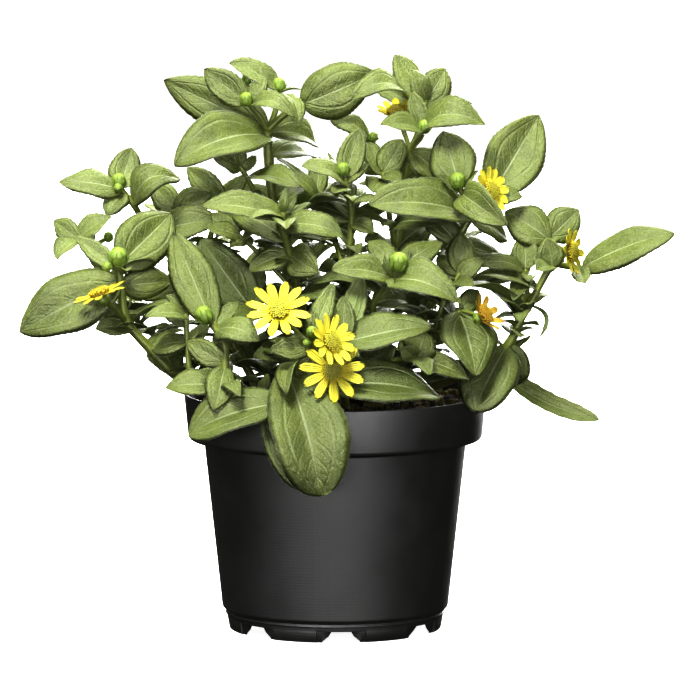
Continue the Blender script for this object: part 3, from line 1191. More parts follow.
def swept(line, radii, sides, ribs):
    """A tube: circles of the radii carried along the line, closed by a point at each end.

    Each circle lies square to the line, on two directions that turn as little as they can, and
    ribs raise its radius by a cosine of four waves.
    """
    ahead = units(np.gradient(line, axis=0))
    side, other = beside(ahead, (0.13, 0.99, 0.05))
    around = np.arange(sides) * math.tau / sides
    reach = radii[:, None] * (1 + ribs * np.cos(4 * around))
    rings = over_frame(line, side, other, reach * np.cos(around), reach * np.sin(around))
    points = np.vstack([rings.reshape(-1, 3), line[:1], line[-1:] + ahead[-1] * radii[-1] * 0.6])
    return points, stack_faces(len(line), sides)


# How a blade is formed, as shares of its half width: how each half is domed, turns down and
# swells, how the whole twists, and how much fuller than the solid's it is
PUFF = 0.62
CURL, CURL_SPREAD = 0.50, 0.25
SWELL, SWELL_WAVES = 0.05, 7
TWIST = 0.35
BREADTH = 1.04
# The tip's bend as a share of the whole width, the waves along the margin, and the powers of the
# outline towards the base and the tip
TIP_BEND = (0.0, 0.12)
WAVES = 11.0
BASE_TAPER, TIP_TAPER = 1.2, 1.32
# Teeth for each mm of width, the fewest of a leaf, and the shares of a tooth that climb and fall
TEETH, FEWEST_TEETH = 0.8, 6
TOOTH_CLIMB, TOOTH_FALL = 0.72, 0.28
# How much closer the rows lie towards the tip, and the blade's and midrib's depths in mm
ROW_EASE = 1.12
UPPER_LIFT, BLADE_DEPTH = 0.1, 0.34
RIB_DEPTH, RIB_WIDTH = 0.55, 0.55


def teeth(u, count):
    """Forward-leaning teeth along a margin, from 0 in each notch to 1 at each point."""
    phase = (u * count) % 1.0
    saw = np.where(phase < TOOTH_CLIMB, phase / TOOTH_CLIMB, (1 - phase) / TOOTH_FALL)
    return saw * np.sin(np.pi * np.clip(u, 0, 1)) ** 0.5


def outline_width(u, leaf):
    """Half the leaf's width as in its solid, with a fuller base and a tip that tapers to a point.

    The powers are like those of the solid's outline, and the peak lies nearer the middle.
    """
    peak = leaf["peak"] + 0.03
    body = (u / peak) ** (BASE_TAPER * peak) * ((1 - u) / (1 - peak)) ** (TIP_TAPER * (1 - peak))
    return np.maximum(body * BREADTH * leaf["width"] / 2, np.where(u < 0.5, PETIOLE_HALF, 0.05))


def thin_blade(top, bottom):
    """A closed thin blade from grids of points above and below, which meet round its margin.

    Returns its points, its faces and which places of the grid have a point of their own below.
    """
    inside = np.zeros(top.shape[:2], bool)
    inside[1:-1, 1:-1] = True
    lower = np.arange(inside.size).reshape(inside.shape)
    lower[inside] = inside.size + np.arange(inside.sum())
    quads = grid_faces(top.shape[0] - 1, top.shape[1] - 1)
    return np.vstack([top.reshape(-1, 3), bottom[inside]]), [quads, lower.ravel()[quads][:, ::-1]], inside


def on_blade(inside, values):
    """Values over a blade's grid, as they fall on the points of its two faces."""
    values = np.broadcast_to(values, inside.shape)
    return np.concatenate([values.ravel(), values[inside]])


def fine_leaf(leaf, rows, cols, chance, wave, tooth):
    """A leaf as a closed thin blade.

    The upper face lies on the midrib's parabola: out by the half width times v, and up by
    PUFF |v| - CURL v^2 of the half width, so each half is domed beside a sunken midrib and turns
    down to its margin. A wave grows to the margin and to the tip, the whole blade twists a
    little, and its tip bends over. The half width has teeth and swells unevenly on its two sides.
    The lower face lies under it by a thickness that falls to nothing at the margin, with the
    midrib standing out below. Returns points, faces and, at each point, u along, v across and
    whether it is underneath.
    """
    u = 1 - (1 - np.linspace(0, 1, rows + 1)) ** ROW_EASE
    v = np.linspace(-1, 1, cols + 1)
    points, side, up = blade_frame(leaf, u)
    width = leaf["width"]
    phase = chance.uniform(0, math.tau, 4)
    half = outline_width(u, leaf)
    count = max(FEWEST_TEETH, round(width * TEETH))
    half = half + tooth * (teeth(u, count) - 0.5) * (u > 0.1) * (u < 0.99)
    half = np.maximum(half, 0.1)[:, None]
    u = u[:, None]
    swell = np.sin(u * SWELL_WAVES + np.where(v < 0, phase[2], phase[3]))
    across = half * v * (1 + SWELL * swell * np.sin(np.pi * u))
    curl = CURL + chance.uniform(-CURL_SPREAD, CURL_SPREAD)
    turn = u * WAVES + np.where(v < 0, phase[0], phase[1])
    rise = half * (PUFF * np.abs(v) - curl * v ** 2)
    rise = rise + wave * width * np.sin(turn) * np.abs(v) ** 2 * np.sqrt(u)
    rise = rise + chance.uniform(-TWIST, TWIST) * across * (u - 0.3)
    rise = rise - chance.uniform(*TIP_BEND) * width * u ** 4
    top = over_frame(points, side, up, across, rise + UPPER_LIFT)
    depth = BLADE_DEPTH * (1 - np.abs(v) ** 3)[None] * np.ones_like(u)
    depth = depth + RIB_DEPTH * np.exp(-(across / RIB_WIDTH) ** 2) * (1 - u) ** 0.7
    points, faces, inside = thin_blade(top, top - up[:, None] * depth[..., None])
    under = np.concatenate([np.zeros(inside.size), np.ones(inside.sum())])
    return points, faces, on_blade(inside, u), on_blade(inside, v[None]), under


def bristles(roots, ways, length, thick):
    """Hairs: each a slim three-sided spike from its root along its way."""
    ways = units(ways)
    side, other = beside(ways, (0.37, 0.21, 0.9))
    ring = [roots + thick * (math.cos(a) * side + math.sin(a) * other)
            for a in (0, math.tau / 3, 2 * math.tau / 3)]
    points = np.stack(ring + [roots + ways * np.asarray(length).reshape(-1, 1)], 1).reshape(-1, 3)
    base = np.arange(len(roots))[:, None] * 4
    corners = ([0, 1, 3], [1, 2, 3], [2, 0, 3], [2, 1, 0])
    return points, [np.vstack([base + part for part in corners])]


def copies(parts, count, each):
    """The faces of some parts repeated for a count of copies of each so many points."""
    base = (np.arange(count) * each)[:, None, None]
    return [(part[None] + base).reshape(-1, part.shape[1]) for part in parts]


# Pot: how its corners are rounded, the edges kept sharp, the bead above the foot, the floor's
# underside, the foot's top, and the drain holes' radius, ring and half their patch
POT_ROUND, ROUND_STEPS = 0.5, 4
POT_SHARP = math.radians(38)
BEAD = 0.45
FLOOR_UNDERSIDE = 4.7
FOOT_TOP_RADIUS = 43.4
DRAIN_RADIUS, DRAIN_RING, DRAIN_PATCH = 2.8, 36.5, 3.5
DRAIN_SIDES = 24
# The foot's notches: their centres round the pot, their outline as distances and heights, and
# the shallow recess beside each: its half width, its top and its depth
NOTCH_COUNT = 7
SECTOR = math.tau / NOTCH_COUNT
NOTCH_CENTRES = math.radians(-90 + 3.4) + np.arange(NOTCH_COUNT) * math.tau / NOTCH_COUNT
NOTCH_OUTLINE = ((4.0, 5.1, 7.5, 7.8), (4.2, 2.4, 0.5, 0.0))
RECESS_HALF, RECESS_TOP, RECESS_DEPTH = 9.6, 4.5, 0.5
# Further angles of a sector on each side of its notch, that keep the wall round
WALL_ANGLES = (0.28, 0.335, 0.39)


def rounded(points, radius):
    """A line with each inner corner taken off by a parabola that starts a radius before it."""
    points = np.array(points, float)
    before, here, after = points[:-2], points[1:-1], points[2:]
    t = np.linspace(0, 1, ROUND_STEPS)[None, :, None]
    reach_in = np.minimum(radius / np.linalg.norm(before - here, axis=1), 0.45)[:, None]
    reach_out = np.minimum(radius / np.linalg.norm(after - here, axis=1), 0.45)[:, None]
    start = (here + (before - here) * reach_in)[:, None]
    end = (here + (after - here) * reach_out)[:, None]
    arcs = (1 - t) ** 2 * start + 2 * t * (1 - t) * here[:, None] + t ** 2 * end
    return np.vstack([points[:1], arcs.reshape(-1, 2), points[-1:]])


def pot_section():
    """The wall's section of (radius, height), from inside the drain holes up, over and down."""
    top, rim_foot, floor = POT_HEIGHT, POT_HEIGHT - RIM_DEPTH, FLOOR_UNDERSIDE + WALL
    wall = [
        (DRAIN_RING + DRAIN_PATCH, floor), (FOOT_TOP_RADIUS - WALL - 0.6, floor),
        (BODY_FOOT_RADIUS - WALL, FOOT_HEIGHT + 3.4), (BODY_TOP_RADIUS - WALL, rim_foot - 2.2),
        (RIM_FOOT_RADIUS - WALL - 0.9, rim_foot + 1.2), (RIM_FOOT_RADIUS - WALL, rim_foot + 2.6),
        (RIM_RADIUS - WALL - 0.1, top), (RIM_RADIUS, top), (RIM_FOOT_RADIUS, rim_foot + 0.9),
        (RIM_FOOT_RADIUS - 0.6, rim_foot), (BODY_TOP_RADIUS + 0.6, rim_foot - 0.2),
        (BODY_TOP_RADIUS, rim_foot - 1.4), (BODY_FOOT_RADIUS, FOOT_HEIGHT + 2.4),
        (FOOT_TOP_RADIUS, FOOT_HEIGHT + 0.9), (FOOT_TOP_RADIUS + BEAD, FOOT_HEIGHT + 0.3),
        (FOOT_TOP_RADIUS + BEAD, FOOT_HEIGHT - 0.1), (FOOT_TOP_RADIUS, FOOT_HEIGHT - 0.3),
    ]
    foot = [
        (FOOT_RADIUS + 0.8, RECESS_TOP + 0.1), (FOOT_RADIUS + 0.8, RECESS_TOP - 0.1), (FOOT_RADIUS, 0.3),
        (FOOT_RADIUS - 0.3, 0), (FOOT_RADIUS - WALL + 0.2, 0), (FOOT_RADIUS - WALL, 0.2),
        (FOOT_RADIUS - WALL + 0.4, FLOOR_UNDERSIDE), (DRAIN_RING + DRAIN_PATCH, FLOOR_UNDERSIDE),
    ]
    return np.vstack([rounded(wall, POT_ROUND), foot])


def pot_angles():
    """Angles round the pot, with one at every corner of a notch, a recess and a drain's patch.

    Returns them, how far each lies from its notch's centre, and how many a sector has.
    """
    side = DRAIN_PATCH * np.tan(np.radians((0, 15, 30, 45))) / DRAIN_RING
    notch = np.array(NOTCH_OUTLINE[0]) / FOOT_RADIUS
    recess = np.array((RECESS_HALF, RECESS_HALF + 0.2)) / FOOT_RADIUS
    half = np.sort(np.concatenate([side[1:], notch, recess, WALL_ANGLES]))
    sector = np.concatenate([-half[::-1], [0], half, [math.pi / NOTCH_COUNT]])
    return (NOTCH_CENTRES[:, None] + sector).ravel(), np.tile(sector, NOTCH_COUNT), len(sector)


def ring_points(radius, angle, height):
    """Points round the Z axis."""
    radius, angle, height = np.broadcast_arrays(radius, angle, height)
    return np.stack([radius * np.cos(angle), radius * np.sin(angle), height], -1)


def pot_wall(angles, off):
    """The section turned round the axis, its foot lifted into the notches and set back beside them.

    Below the recess's top a height z becomes b + z (top - b) / top, where b is the notch's
    outline at that angle.
    """
    section = pot_section()
    radius, height = section[:, :1], section[:, 1:]
    lift = np.interp(np.abs(off) * FOOT_RADIUS, *NOTCH_OUTLINE)[None]
    foot = height < RECESS_TOP
    ceiling = RECESS_TOP - 0.1
    lifted = np.where(foot, lift + height * (ceiling - lift) / ceiling, height)
    outside = foot & (radius > FOOT_RADIUS - 0.5)
    back = RECESS_DEPTH * (np.abs(off) * FOOT_RADIUS < RECESS_HALF + 0.1)[None]
    points = ring_points(radius - outside * back, angles[None], lifted)
    return points, [grid_faces(len(section) - 1, len(angles), wrap=True)[:, ::-1]]


def drain_ways():
    """Directions round a drain hole, as rows of cosine and sine."""
    way = np.radians(np.arange(DRAIN_SIDES) * 15.0)
    return np.stack([np.cos(way), np.sin(way)], -1)


def floor_parts(height, angles, each, down):
    """A side of the pot's floor at a height: a disc, and a ring round it with drain holes.

    Round a hole the ring is a patch: circle (1 - t) + square t along each of its directions,
    where the square has the patch's half side.
    """
    inner, count = DRAIN_RING - DRAIN_PATCH, len(angles)
    order = (lambda part: part[:, ::-1]) if down else (lambda part: part)
    disc = ring_points(np.array((inner, inner / 2))[:, None], angles[None], height).reshape(-1, 3)
    disc = np.vstack([disc, [(0, 0, height)]])
    k = np.arange(count)
    fan = np.stack([count + k, count + (k + 1) % count, np.full(count, 2 * count)], -1)
    parts = [(disc, [order(grid_faces(1, count, wrap=True)), order(fan)])]
    circle = DRAIN_RADIUS * drain_ways()
    square = circle / np.abs(circle).max(axis=1, keepdims=True) * DRAIN_PATCH
    grid = np.stack([circle, (circle + square) / 2, square])
    steps = DRAIN_PATCH * np.tan(np.radians(np.arange(-45, 46, 15)))
    for index, centre in enumerate(NOTCH_CENTRES):
        patch = ring_points(DRAIN_RING + grid[..., 0], centre + grid[..., 1] / DRAIN_RING, height)
        parts.append((patch, [order(grid_faces(2, DRAIN_SIDES, wrap=True)[:, ::-1])]))
        run = np.arange(each) + index * each
        late = run[(angles[run] - centre) * DRAIN_RING > DRAIN_PATCH - 0.001]
        turn = np.unwrap(angles[(late[0] + np.arange(each)) % count])
        turn = turn[turn < centre + SECTOR - DRAIN_PATCH / DRAIN_RING + 0.001]
        strip = ring_points((DRAIN_RING + steps)[:, None], turn[None], height)
        parts.append((strip, [order(grid_faces(len(steps) - 1, len(turn))[:, ::-1])]))
    return parts


def drain_walls():
    """The sides of the drain holes, between the floor's two faces."""
    out, beyond = DRAIN_RADIUS * drain_ways().T
    heights = np.array((FLOOR_UNDERSIDE, FLOOR_UNDERSIDE + WALL))[:, None]
    faces = grid_faces(1, DRAIN_SIDES, wrap=True)[:, ::-1]
    return [(ring_points(DRAIN_RING + out[None], centre + beyond[None] / DRAIN_RING, heights), [faces])
            for centre in NOTCH_CENTRES]


# Where light reaches the leaves from, and how far and from what gap one shades another
LIGHT_WAY = (-0.25, -0.6, 1.0)
SHELTER_REACH, SHELTER_GAP = 17.0, 3.0
# A leaf's age: its start, what size and shelter add, the area in square mm of a full size, and
# the percentile of shelter that counts as full
AGE_START, AGE_BY_SIZE, AGE_BY_SHELTER = 0.12, 0.3, 0.62
FULL_AREA = 500
FULL_SHELTER = 88
# Rows and columns of a fine leaf, by the length that it is over
LEAF_DETAIL = ((26, 40, 10), (15, 28, 8), (0, 16, 6))
# Hairs: their thickness on a margin and on a stem, how much longer the stem's are, how many stand
# on each ring of a stem of 1.5 mm radius, and the fewest of a leaf
MARGIN_HAIR, STEM_HAIR, STEM_HAIR_LENGTH = 0.05, 0.045, 1.3
RING_HAIRS, LEAST_HAIRS = 10, 12
# Stems: curve steps between two points, ribs, how a joint swells them, and how the foot's colour
# fades over a height
STEM_STEPS, STEM_RIBS = 6, 0.05
KNOT = (0.3, 0.7, 1, 0.7, 0.3)
FOOT_COLOUR_TOP, FOOT_COLOUR_FADE = 112, 30


def leaf_detail(leaf):
    """Rows and columns for a leaf, more for a longer one."""
    length = np.linalg.norm(leaf["tip"] - leaf["root"])
    return next((rows, cols) for over, rows, cols in LEAF_DETAIL if length > over)


def leaf_ages():
    """How grown and sheltered each leaf is, from 0 near the light to 1 deep in the plant.

    Shelter is the area of the leaves that lie towards the light from a leaf, each weighted by a
    bell of its distance.
    """
    middles = np.array([(leaf["root"] + leaf["tip"]) / 2 for leaf in LEAVES])
    areas = np.array([leaf["width"] * np.linalg.norm(leaf["tip"] - leaf["root"]) for leaf in LEAVES])
    gaps = middles[None] - middles[:, None]
    near = np.exp(-(gaps ** 2).sum(axis=-1) / (2 * SHELTER_REACH ** 2))
    shelter = (near * (gaps @ unit(LIGHT_WAY) > SHELTER_GAP)) @ areas
    shelter = shelter / np.percentile(shelter, FULL_SHELTER)
    size = np.minimum(areas / FULL_AREA, 1)
    return np.clip(AGE_START + AGE_BY_SIZE * size + AGE_BY_SHELTER * shelter, 0, 1)


class ZINNIA_OT_leaves(bpy.types.Operator):
    """Grow the fine leaves of every stem, with the hairs along their margins"""

    bl_idname = "zinnia.leaves"
    bl_label = "Grow leaves"

    def execute(self, context):
        """Make one leaf piece and one hair piece for each stem."""
        chance = np.random.default_rng(SEED)
        tooth, length = sizes().tooth_depth / MM, sizes().hair_length / MM
        ages = leaf_ages()
        for name in SHOOTS:
            blades = Patches("along", "across", "under", "tint", "age")
            hairs = Patches()
            for leaf, age in zip(LEAVES, ages):
                if leaf["node"] != name:
                    continue
                points, faces, along, across, under = fine_leaf(
                    leaf, *leaf_detail(leaf), chance, sizes().leaf_wave, tooth)
                tint = chance.uniform(0, 1)
                blades.add(points, faces, along=along, across=across, under=under, tint=tint, age=age)
                margin = np.flatnonzero((np.abs(across) > 0.99) & (along > 0.1))
                picks = margin[chance.permutation(len(margin))[:max(LEAST_HAIRS, len(margin) * 3 // 4)]]
                _, side, up = blade_frame(leaf, along[picks])
                lift = chance.uniform(-0.4, 0.6, (len(picks), 1))
                out = side * np.sign(across[picks])[:, None] + up * lift
                reach = length * chance.uniform(0.5, 1.0, len(picks))
                hairs.add(*bristles(points[picks], out, reach, MARGIN_HAIR))
            short = name.removeprefix("stem_")
            blades.make("leaves_" + short, leaf_material, "foliage", [name])
            hairs.make("margin_hairs_" + short, hair_material, "foliage", [name], smooth=False)
        return {"FINISHED"}


class ZINNIA_OT_stems(bpy.types.Operator):
    """Grow the stems and side shoots, swollen a little where leaves join them"""

    bl_idname = "zinnia.stems"
    bl_label = "Grow stems"

    def execute(self, context):
        """Make one shoot piece and one hair piece for each stem."""
        chance = np.random.default_rng(SEED + 1)
        length = sizes().hair_length / MM * STEM_HAIR_LENGTH
        for name, shoot in SHOOTS.items():
            tubes, hairs = Patches("foot"), Patches()
            routes = list(shoot["routes"])
            for centre, radius, *_ in [*shoot["buds"], *cups_of(name)]:
                start = nearest_end(shoot, centre)
                if np.linalg.norm(np.subtract(start, centre)) > 0.6 * radius:
                    routes.append(([start, centre], STALK_RADIUS, STALK_RADIUS))
            for points, foot, top in routes:
                line, reach = smooth_route(points, np.linspace(foot, top, len(points)), STEM_STEPS)
                knot = np.zeros(len(line))
                knot[::STEM_STEPS] = 1.0
                reach = reach * (0.96 + 0.12 * np.convolve(knot, KNOT, "same"))
                sides = 12 if foot > 1.3 else 8
                shape, faces = swept(line, reach, sides, STEM_RIBS)
                below = (FOOT_COLOUR_TOP - shape[:, 2]) / FOOT_COLOUR_FADE
                tubes.add(shape, faces, foot=np.clip(below, 0, 1))
                count = int(len(line) * RING_HAIRS * (foot / 1.5))
                picks = chance.integers(0, len(line) * sides, count)
                roots = shape[picks]
                out = units(roots - line[picks // sides]) + chance.uniform(-0.4, 0.4, (count, 3))
                hairs.add(*bristles(roots, out, length * chance.uniform(0.5, 1.0, count), STEM_HAIR))
            short = name.removeprefix("stem_")
            tubes.make("shoots_" + short, stem_material, "foliage", [name])
            hairs.make("stem_hairs_" + short, hair_material, "foliage", [name], smooth=False)
        return {"FINISHED"}


# A bud's rows and columns, and its scales: their rows, and how far they stand out
BUD_ROWS, BUD_COLS = 18, 24
SCALE_ROWS, SCALE_STEP = 3, 0.1
# What lies to the side of a bud's way
BUD_SIDE = (0.3, 0.8, 0.1)
# Scales round a bud and a cup, how much of the crown's colour it takes, and its bracts
BUD_LOOK, CUP_LOOK = (7, 1.0, 5), (8, 0.5, 8)
# How a bud leans from its stem: to the viewer and up
BUD_LEAN = (0, -0.4, 1.6)


def bud_shape(centre, radius, way, lobes):
    """A closed bud: a ball drawn out a little along its way, under rows of overlapping scales.

    The radius rises by a saw of the height, whose phase shifts by half a scale in each row, and
    by a rounded wave round the bud.
    """
    polar = np.linspace(0, np.pi, BUD_ROWS + 1)[:, None]
    around = (np.arange(BUD_COLS) * math.tau / BUD_COLS)[None]
    row = polar / np.pi * SCALE_ROWS
    wave = np.abs(np.sin(lobes / 2 * around + np.floor(row) * np.pi / 2))
    reach = radius * (0.93 + SCALE_STEP * (1 - row % 1) * wave ** 0.5)
    way = unit(way)
    side, other = beside(way, BUD_SIDE)
    tall = -1.08 * np.cos(polar) * np.ones_like(around)
    flat = reach * np.sin(polar) ** 0.9
    points = (np.array(centre) + (reach * tall)[..., None] * way
              + (flat * np.cos(around))[..., None] * side + (flat * np.sin(around))[..., None] * other)
    inner = points[1:-1].reshape(-1, 3)
    points = np.vstack([inner, points[0].mean(axis=0), points[-1].mean(axis=0)])
    rings = BUD_ROWS - 1
    height = np.concatenate([np.broadcast_to(polar[1:-1] / np.pi, (rings, BUD_COLS)).ravel(), [0, 1]])
    seam = np.concatenate([wave[1:-1].ravel(), [1, 1]])
    return points, stack_faces(rings, BUD_COLS), height, seam


def add_bracts(balls, centre, radius, way, count, chance):
    """Small pointed bracts round a bud's foot, on a sphere a little wider than the bud.

    A bract climbs the bud's side through 0.45 of its height, narrows to its tip and leans out there.
    """
    u, v = np.linspace(0, 1, 8)[:, None], np.linspace(-1, 1, 5)[None]
    way = unit(way)
    frame_lines = (way, *beside(way, BUD_SIDE))
    for index in range(count):
        climb = 0.45 * chance.uniform(0.85, 1.1)
        polar = np.pi * (0.12 + climb * u)
        half = 0.36 * (0.35 + u) ** 0.5 * (1 - u ** 2.2)
        turn = index * math.tau / count + chance.uniform(-0.15, 0.15)
        around = turn + half * v / np.maximum(np.sin(polar), 0.4)
        lean = chance.uniform(0.05, 0.22)
        layers = []
        for layer in (1.03, 0.98):
            reach = radius * (layer + 0.05 * (1 - v ** 2) + lean * u ** 2)
            spot = [-1.05 * reach * np.cos(polar), reach * np.sin(polar) * np.cos(around),
                    reach * np.sin(polar) * np.sin(around)]
            parts = (part[..., None] * line for part, line in zip(spot, frame_lines))
            layers.append(np.array(centre) + sum(parts))
        points, faces, inside = thin_blade(*layers)
        balls.add(points, faces, along=0.0, across=on_blade(inside, 1 - 0.6 * np.abs(v) ** 3))


def add_bud(balls, centre, radius, way, look, chance):
    """A bud or cup with the bracts round its foot."""
    lobes, tone, bracts = look
    points, faces, height, seam = bud_shape(centre, radius, way, lobes)
    balls.add(points, faces, along=height * tone, across=seam)
    add_bracts(balls, centre, radius, way, bracts, chance)


class ZINNIA_OT_buds(bpy.types.Operator):
    """Set the green buds and the cups under the blooms"""

    bl_idname = "zinnia.buds"
    bl_label = "Set buds"

    def execute(self, context):
        """Make one piece of buds for each stem that has any."""
        chance = np.random.default_rng(SEED + 4)
        for name, shoot in SHOOTS.items():
            balls = Patches("along", "across")
            for centre, radius in shoot["buds"]:
                way = np.subtract(centre, nearest_end(shoot, centre)) + BUD_LEAN
                add_bud(balls, centre, radius, way, BUD_LOOK, chance)
            for centre, radius, axis in cups_of(name):
                add_bud(balls, centre, radius, axis, CUP_LOOK, chance)
            if balls.count:
                balls.make("buds_" + name.removeprefix("stem_"), bud_material, "foliage", [name])
        return {"FINISHED"}


# Rays: rows and columns, thickness, and how far they stray in angle, least length and lift
RAY_ROWS, RAY_COLS = 10, 6
RAY_DEPTH = 0.32
RAY_SWAY, RAY_LEAST, RAY_LIFT = 0.05, 0.93, 0.04


def ray_shape(seat, axis, angle, length, width, lift, chance):
    """One ray: a thin closed strip, oblong with a notched end, cupped across and bowed along.

    Its half width rises from a narrow foot to the full width by the middle and rounds off at the
    end, where the reach dips twice across it.
    """
    u, v = np.linspace(0, 1, RAY_ROWS + 1)[:, None], np.linspace(-1, 1, RAY_COLS + 1)[None]
    half = 0.54 * width * (0.42 + 0.58 * np.sin(np.minimum(u / 0.6, 1) * np.pi / 2))
    half = half * np.sqrt(1 - 0.8 * u ** 11)
    dip = 0.075 * u ** 3 * (1 - np.cos(1.5 * np.pi * v) ** 2)
    reach = (DISC_RADIUS - 1.2) + (length + 1.2) * u * (1 - dip - 0.06 * v ** 4 * u)
    bow = chance.uniform(-0.10, 0.10)
    rise = 0.15 + lift * np.maximum(reach - DISC_RADIUS, 0) + 0.2 * half * v ** 2
    rise = rise + bow * length * (u ** 2) - 0.5 * (1 - u)
    over, under = (polar_points(seat, axis, angle, reach, half * v, level)
                   for level in (rise, rise - RAY_DEPTH * (1 - v ** 4)))
    points, faces, inside = thin_blade(over, under)
    return points, faces, on_blade(inside, u), on_blade(inside, v)


def bloom_axes(axis):
    """Two directions square to a bloom's axis, which its CAD solid was turned to."""
    axis = unit(axis)
    start = np.array((0.0, 0.0, 1.0))
    pivot = np.cross(start, axis)
    size = np.linalg.norm(pivot)
    if size < 1e-6:
        return np.array((1.0, 0, 0)), np.array((0, 1.0, 0)), axis
    angle = math.atan2(size, start.dot(axis))
    pivot = pivot / size
    return turned((1, 0, 0), pivot, angle), turned((0, 1, 0), pivot, angle), axis


def polar_points(seat, axis, angle, reach, aside, rise):
    """Points at a reach from the bloom's axis, beside that direction, and up the axis."""
    first, second, up = bloom_axes(axis)
    out = first * math.cos(angle) + second * math.sin(angle)
    side = np.cross(up, out)
    reach, aside, rise = np.broadcast_arrays(reach, aside, rise)
    return np.array(seat) + out * reach[..., None] + side * aside[..., None] + up * rise[..., None]


# Florets of a disc, and how faded the rays of some blooms are
FLORETS, FLORET_SIDES = 100, 6
FADED = {"bloom_fading": 1.0, "bloom_far_left": 0.3, "bloom_top": 0.4, "bloom_right": 0.2,
         "bloom_shoulder": 0.1}
# Profiles of (reach, height) of the dome under the florets, and (radius, share of the height) of
# a floret, with how far each of its rings is to its mouth's colour
DOME_SIDES = 18
DOME = ((1.0, 1.75), (2.4, 1.35), (3.5, 0.7), (DISC_RADIUS - 0.1, 0.0), (DISC_RADIUS - 0.5, -0.6))
DOME_ENDS = (1.9, -0.6)
FLORET = ((0.26, -0.6), (0.28, 0.3), (0.40, 0.85), (0.14, 0.95))
FLORET_TONES = (0.0, 0.3, 1.0, 0.7)


def disc_dome(seat, axis):
    """The closed low dome that carries the florets, from its middle out and under to its middle."""
    points = [polar_points(seat, axis, turn, reach, 0.0, rise).ravel()
              for reach, rise in DOME for turn in np.arange(DOME_SIDES) * math.tau / DOME_SIDES]
    points += [polar_points(seat, axis, 0.0, 0.0, 0.0, rise).ravel() for rise in DOME_ENDS]
    walls, caps = stack_faces(len(DOME), DOME_SIDES)
    return points, [walls[:, ::-1], caps[:, [0, 2, 1]]]


def disc_shape(seat, axis, chance):
    """Disc florets: small pointed cups on a low dome, each turned on by the golden angle."""
    first, second, up = bloom_axes(axis)
    count = FLORETS
    order = (np.arange(count) + 0.5) / count
    reach = (DISC_RADIUS - 0.1) * np.sqrt(order)
    turn = np.arange(count) * math.pi * (3 - math.sqrt(5))
    centre = (np.array(seat) + (reach * np.cos(turn))[:, None] * first
              + (reach * np.sin(turn))[:, None] * second + (0.5 + 1.5 * (1 - order ** 1.3))[:, None] * up)
    lean = up + 0.5 * (centre - seat - up) / DISC_RADIUS
    lean = units(lean + chance.uniform(-0.12, 0.12, lean.shape))
    side, other = beside(lean, first + 0.1 * second)
    tall = (0.45 + 0.65 * order) * chance.uniform(0.7, 1.3, count)
    rings = [centre + lean * (tall * height)[:, None]
             + wide * (math.cos(angle) * side + math.sin(angle) * other)
             for wide, height in FLORET for angle in np.arange(FLORET_SIDES) * math.tau / FLORET_SIDES]
    rings += [centre - lean * 0.7, centre + lean * (tall * 0.75)[:, None]]
    each = len(rings)
    heights = np.concatenate([np.repeat(FLORET_TONES, FLORET_SIDES), [0, 0.2]])
    faces = copies(stack_faces(len(FLORET), FLORET_SIDES), count, each)
    return (np.stack(rings, 1).reshape(-1, 3), faces, np.tile(heights, count),
            np.repeat(1 - order, each))


class ZINNIA_OT_blooms(bpy.types.Operator):
    """Open the yellow blooms, each with its rays and its disc of florets"""

    bl_idname = "zinnia.blooms"
    bl_label = "Open blooms"

    def execute(self, context):
        """Make a ray piece and a disc piece for each bloom."""
        chance = np.random.default_rng(SEED + 2)
        for name, (seat, axis, length, width, count, lift) in BLOOMS.items():
            rays = Patches("along", "across", "tint", "faded")
            florets = Patches("along", "tint", "faded")
            faded = FADED.get(name, 0.0)
            for index in range(count):
                angle = (index + 0.5) * math.tau / count
                points, faces, along, across = ray_shape(
                    seat, axis, angle + chance.uniform(-RAY_SWAY, RAY_SWAY),
                    length * chance.uniform(RAY_LEAST, 1.0), width,
                    lift + chance.uniform(-RAY_LIFT, RAY_LIFT), chance)
                tint = chance.uniform(0, 1)
                rays.add(points, faces, along=along, across=across, tint=tint, faded=faded)
            points, faces, along, tint = disc_shape(seat, axis, chance)
            florets.add(points, faces, along=along, tint=tint, faded=faded)
            florets.add(*disc_dome(seat, axis), along=0.0, tint=1.0, faded=faded)
            short = name.removeprefix("bloom_")
            rays.make("rays_" + short, petal_material, "petals", [name])
            florets.make("florets_" + short, disc_material, "petals", [name], smooth=False)
        return {"FINISHED"}


# Crumbs: how many, how far from the axis, the spread of their sizes, and their profile of
# (radius, height), made flatter than wide
CRUMBS = 2600
CRUMB_REACH = 57.0
CRUMB_SPREAD = 0.45
CRUMB_SIDES = 5
CRUMB_RINGS = ((0.75, -0.55), (0.95, 0.15), (0.6, 0.75))
CRUMB_FLAT = 0.8


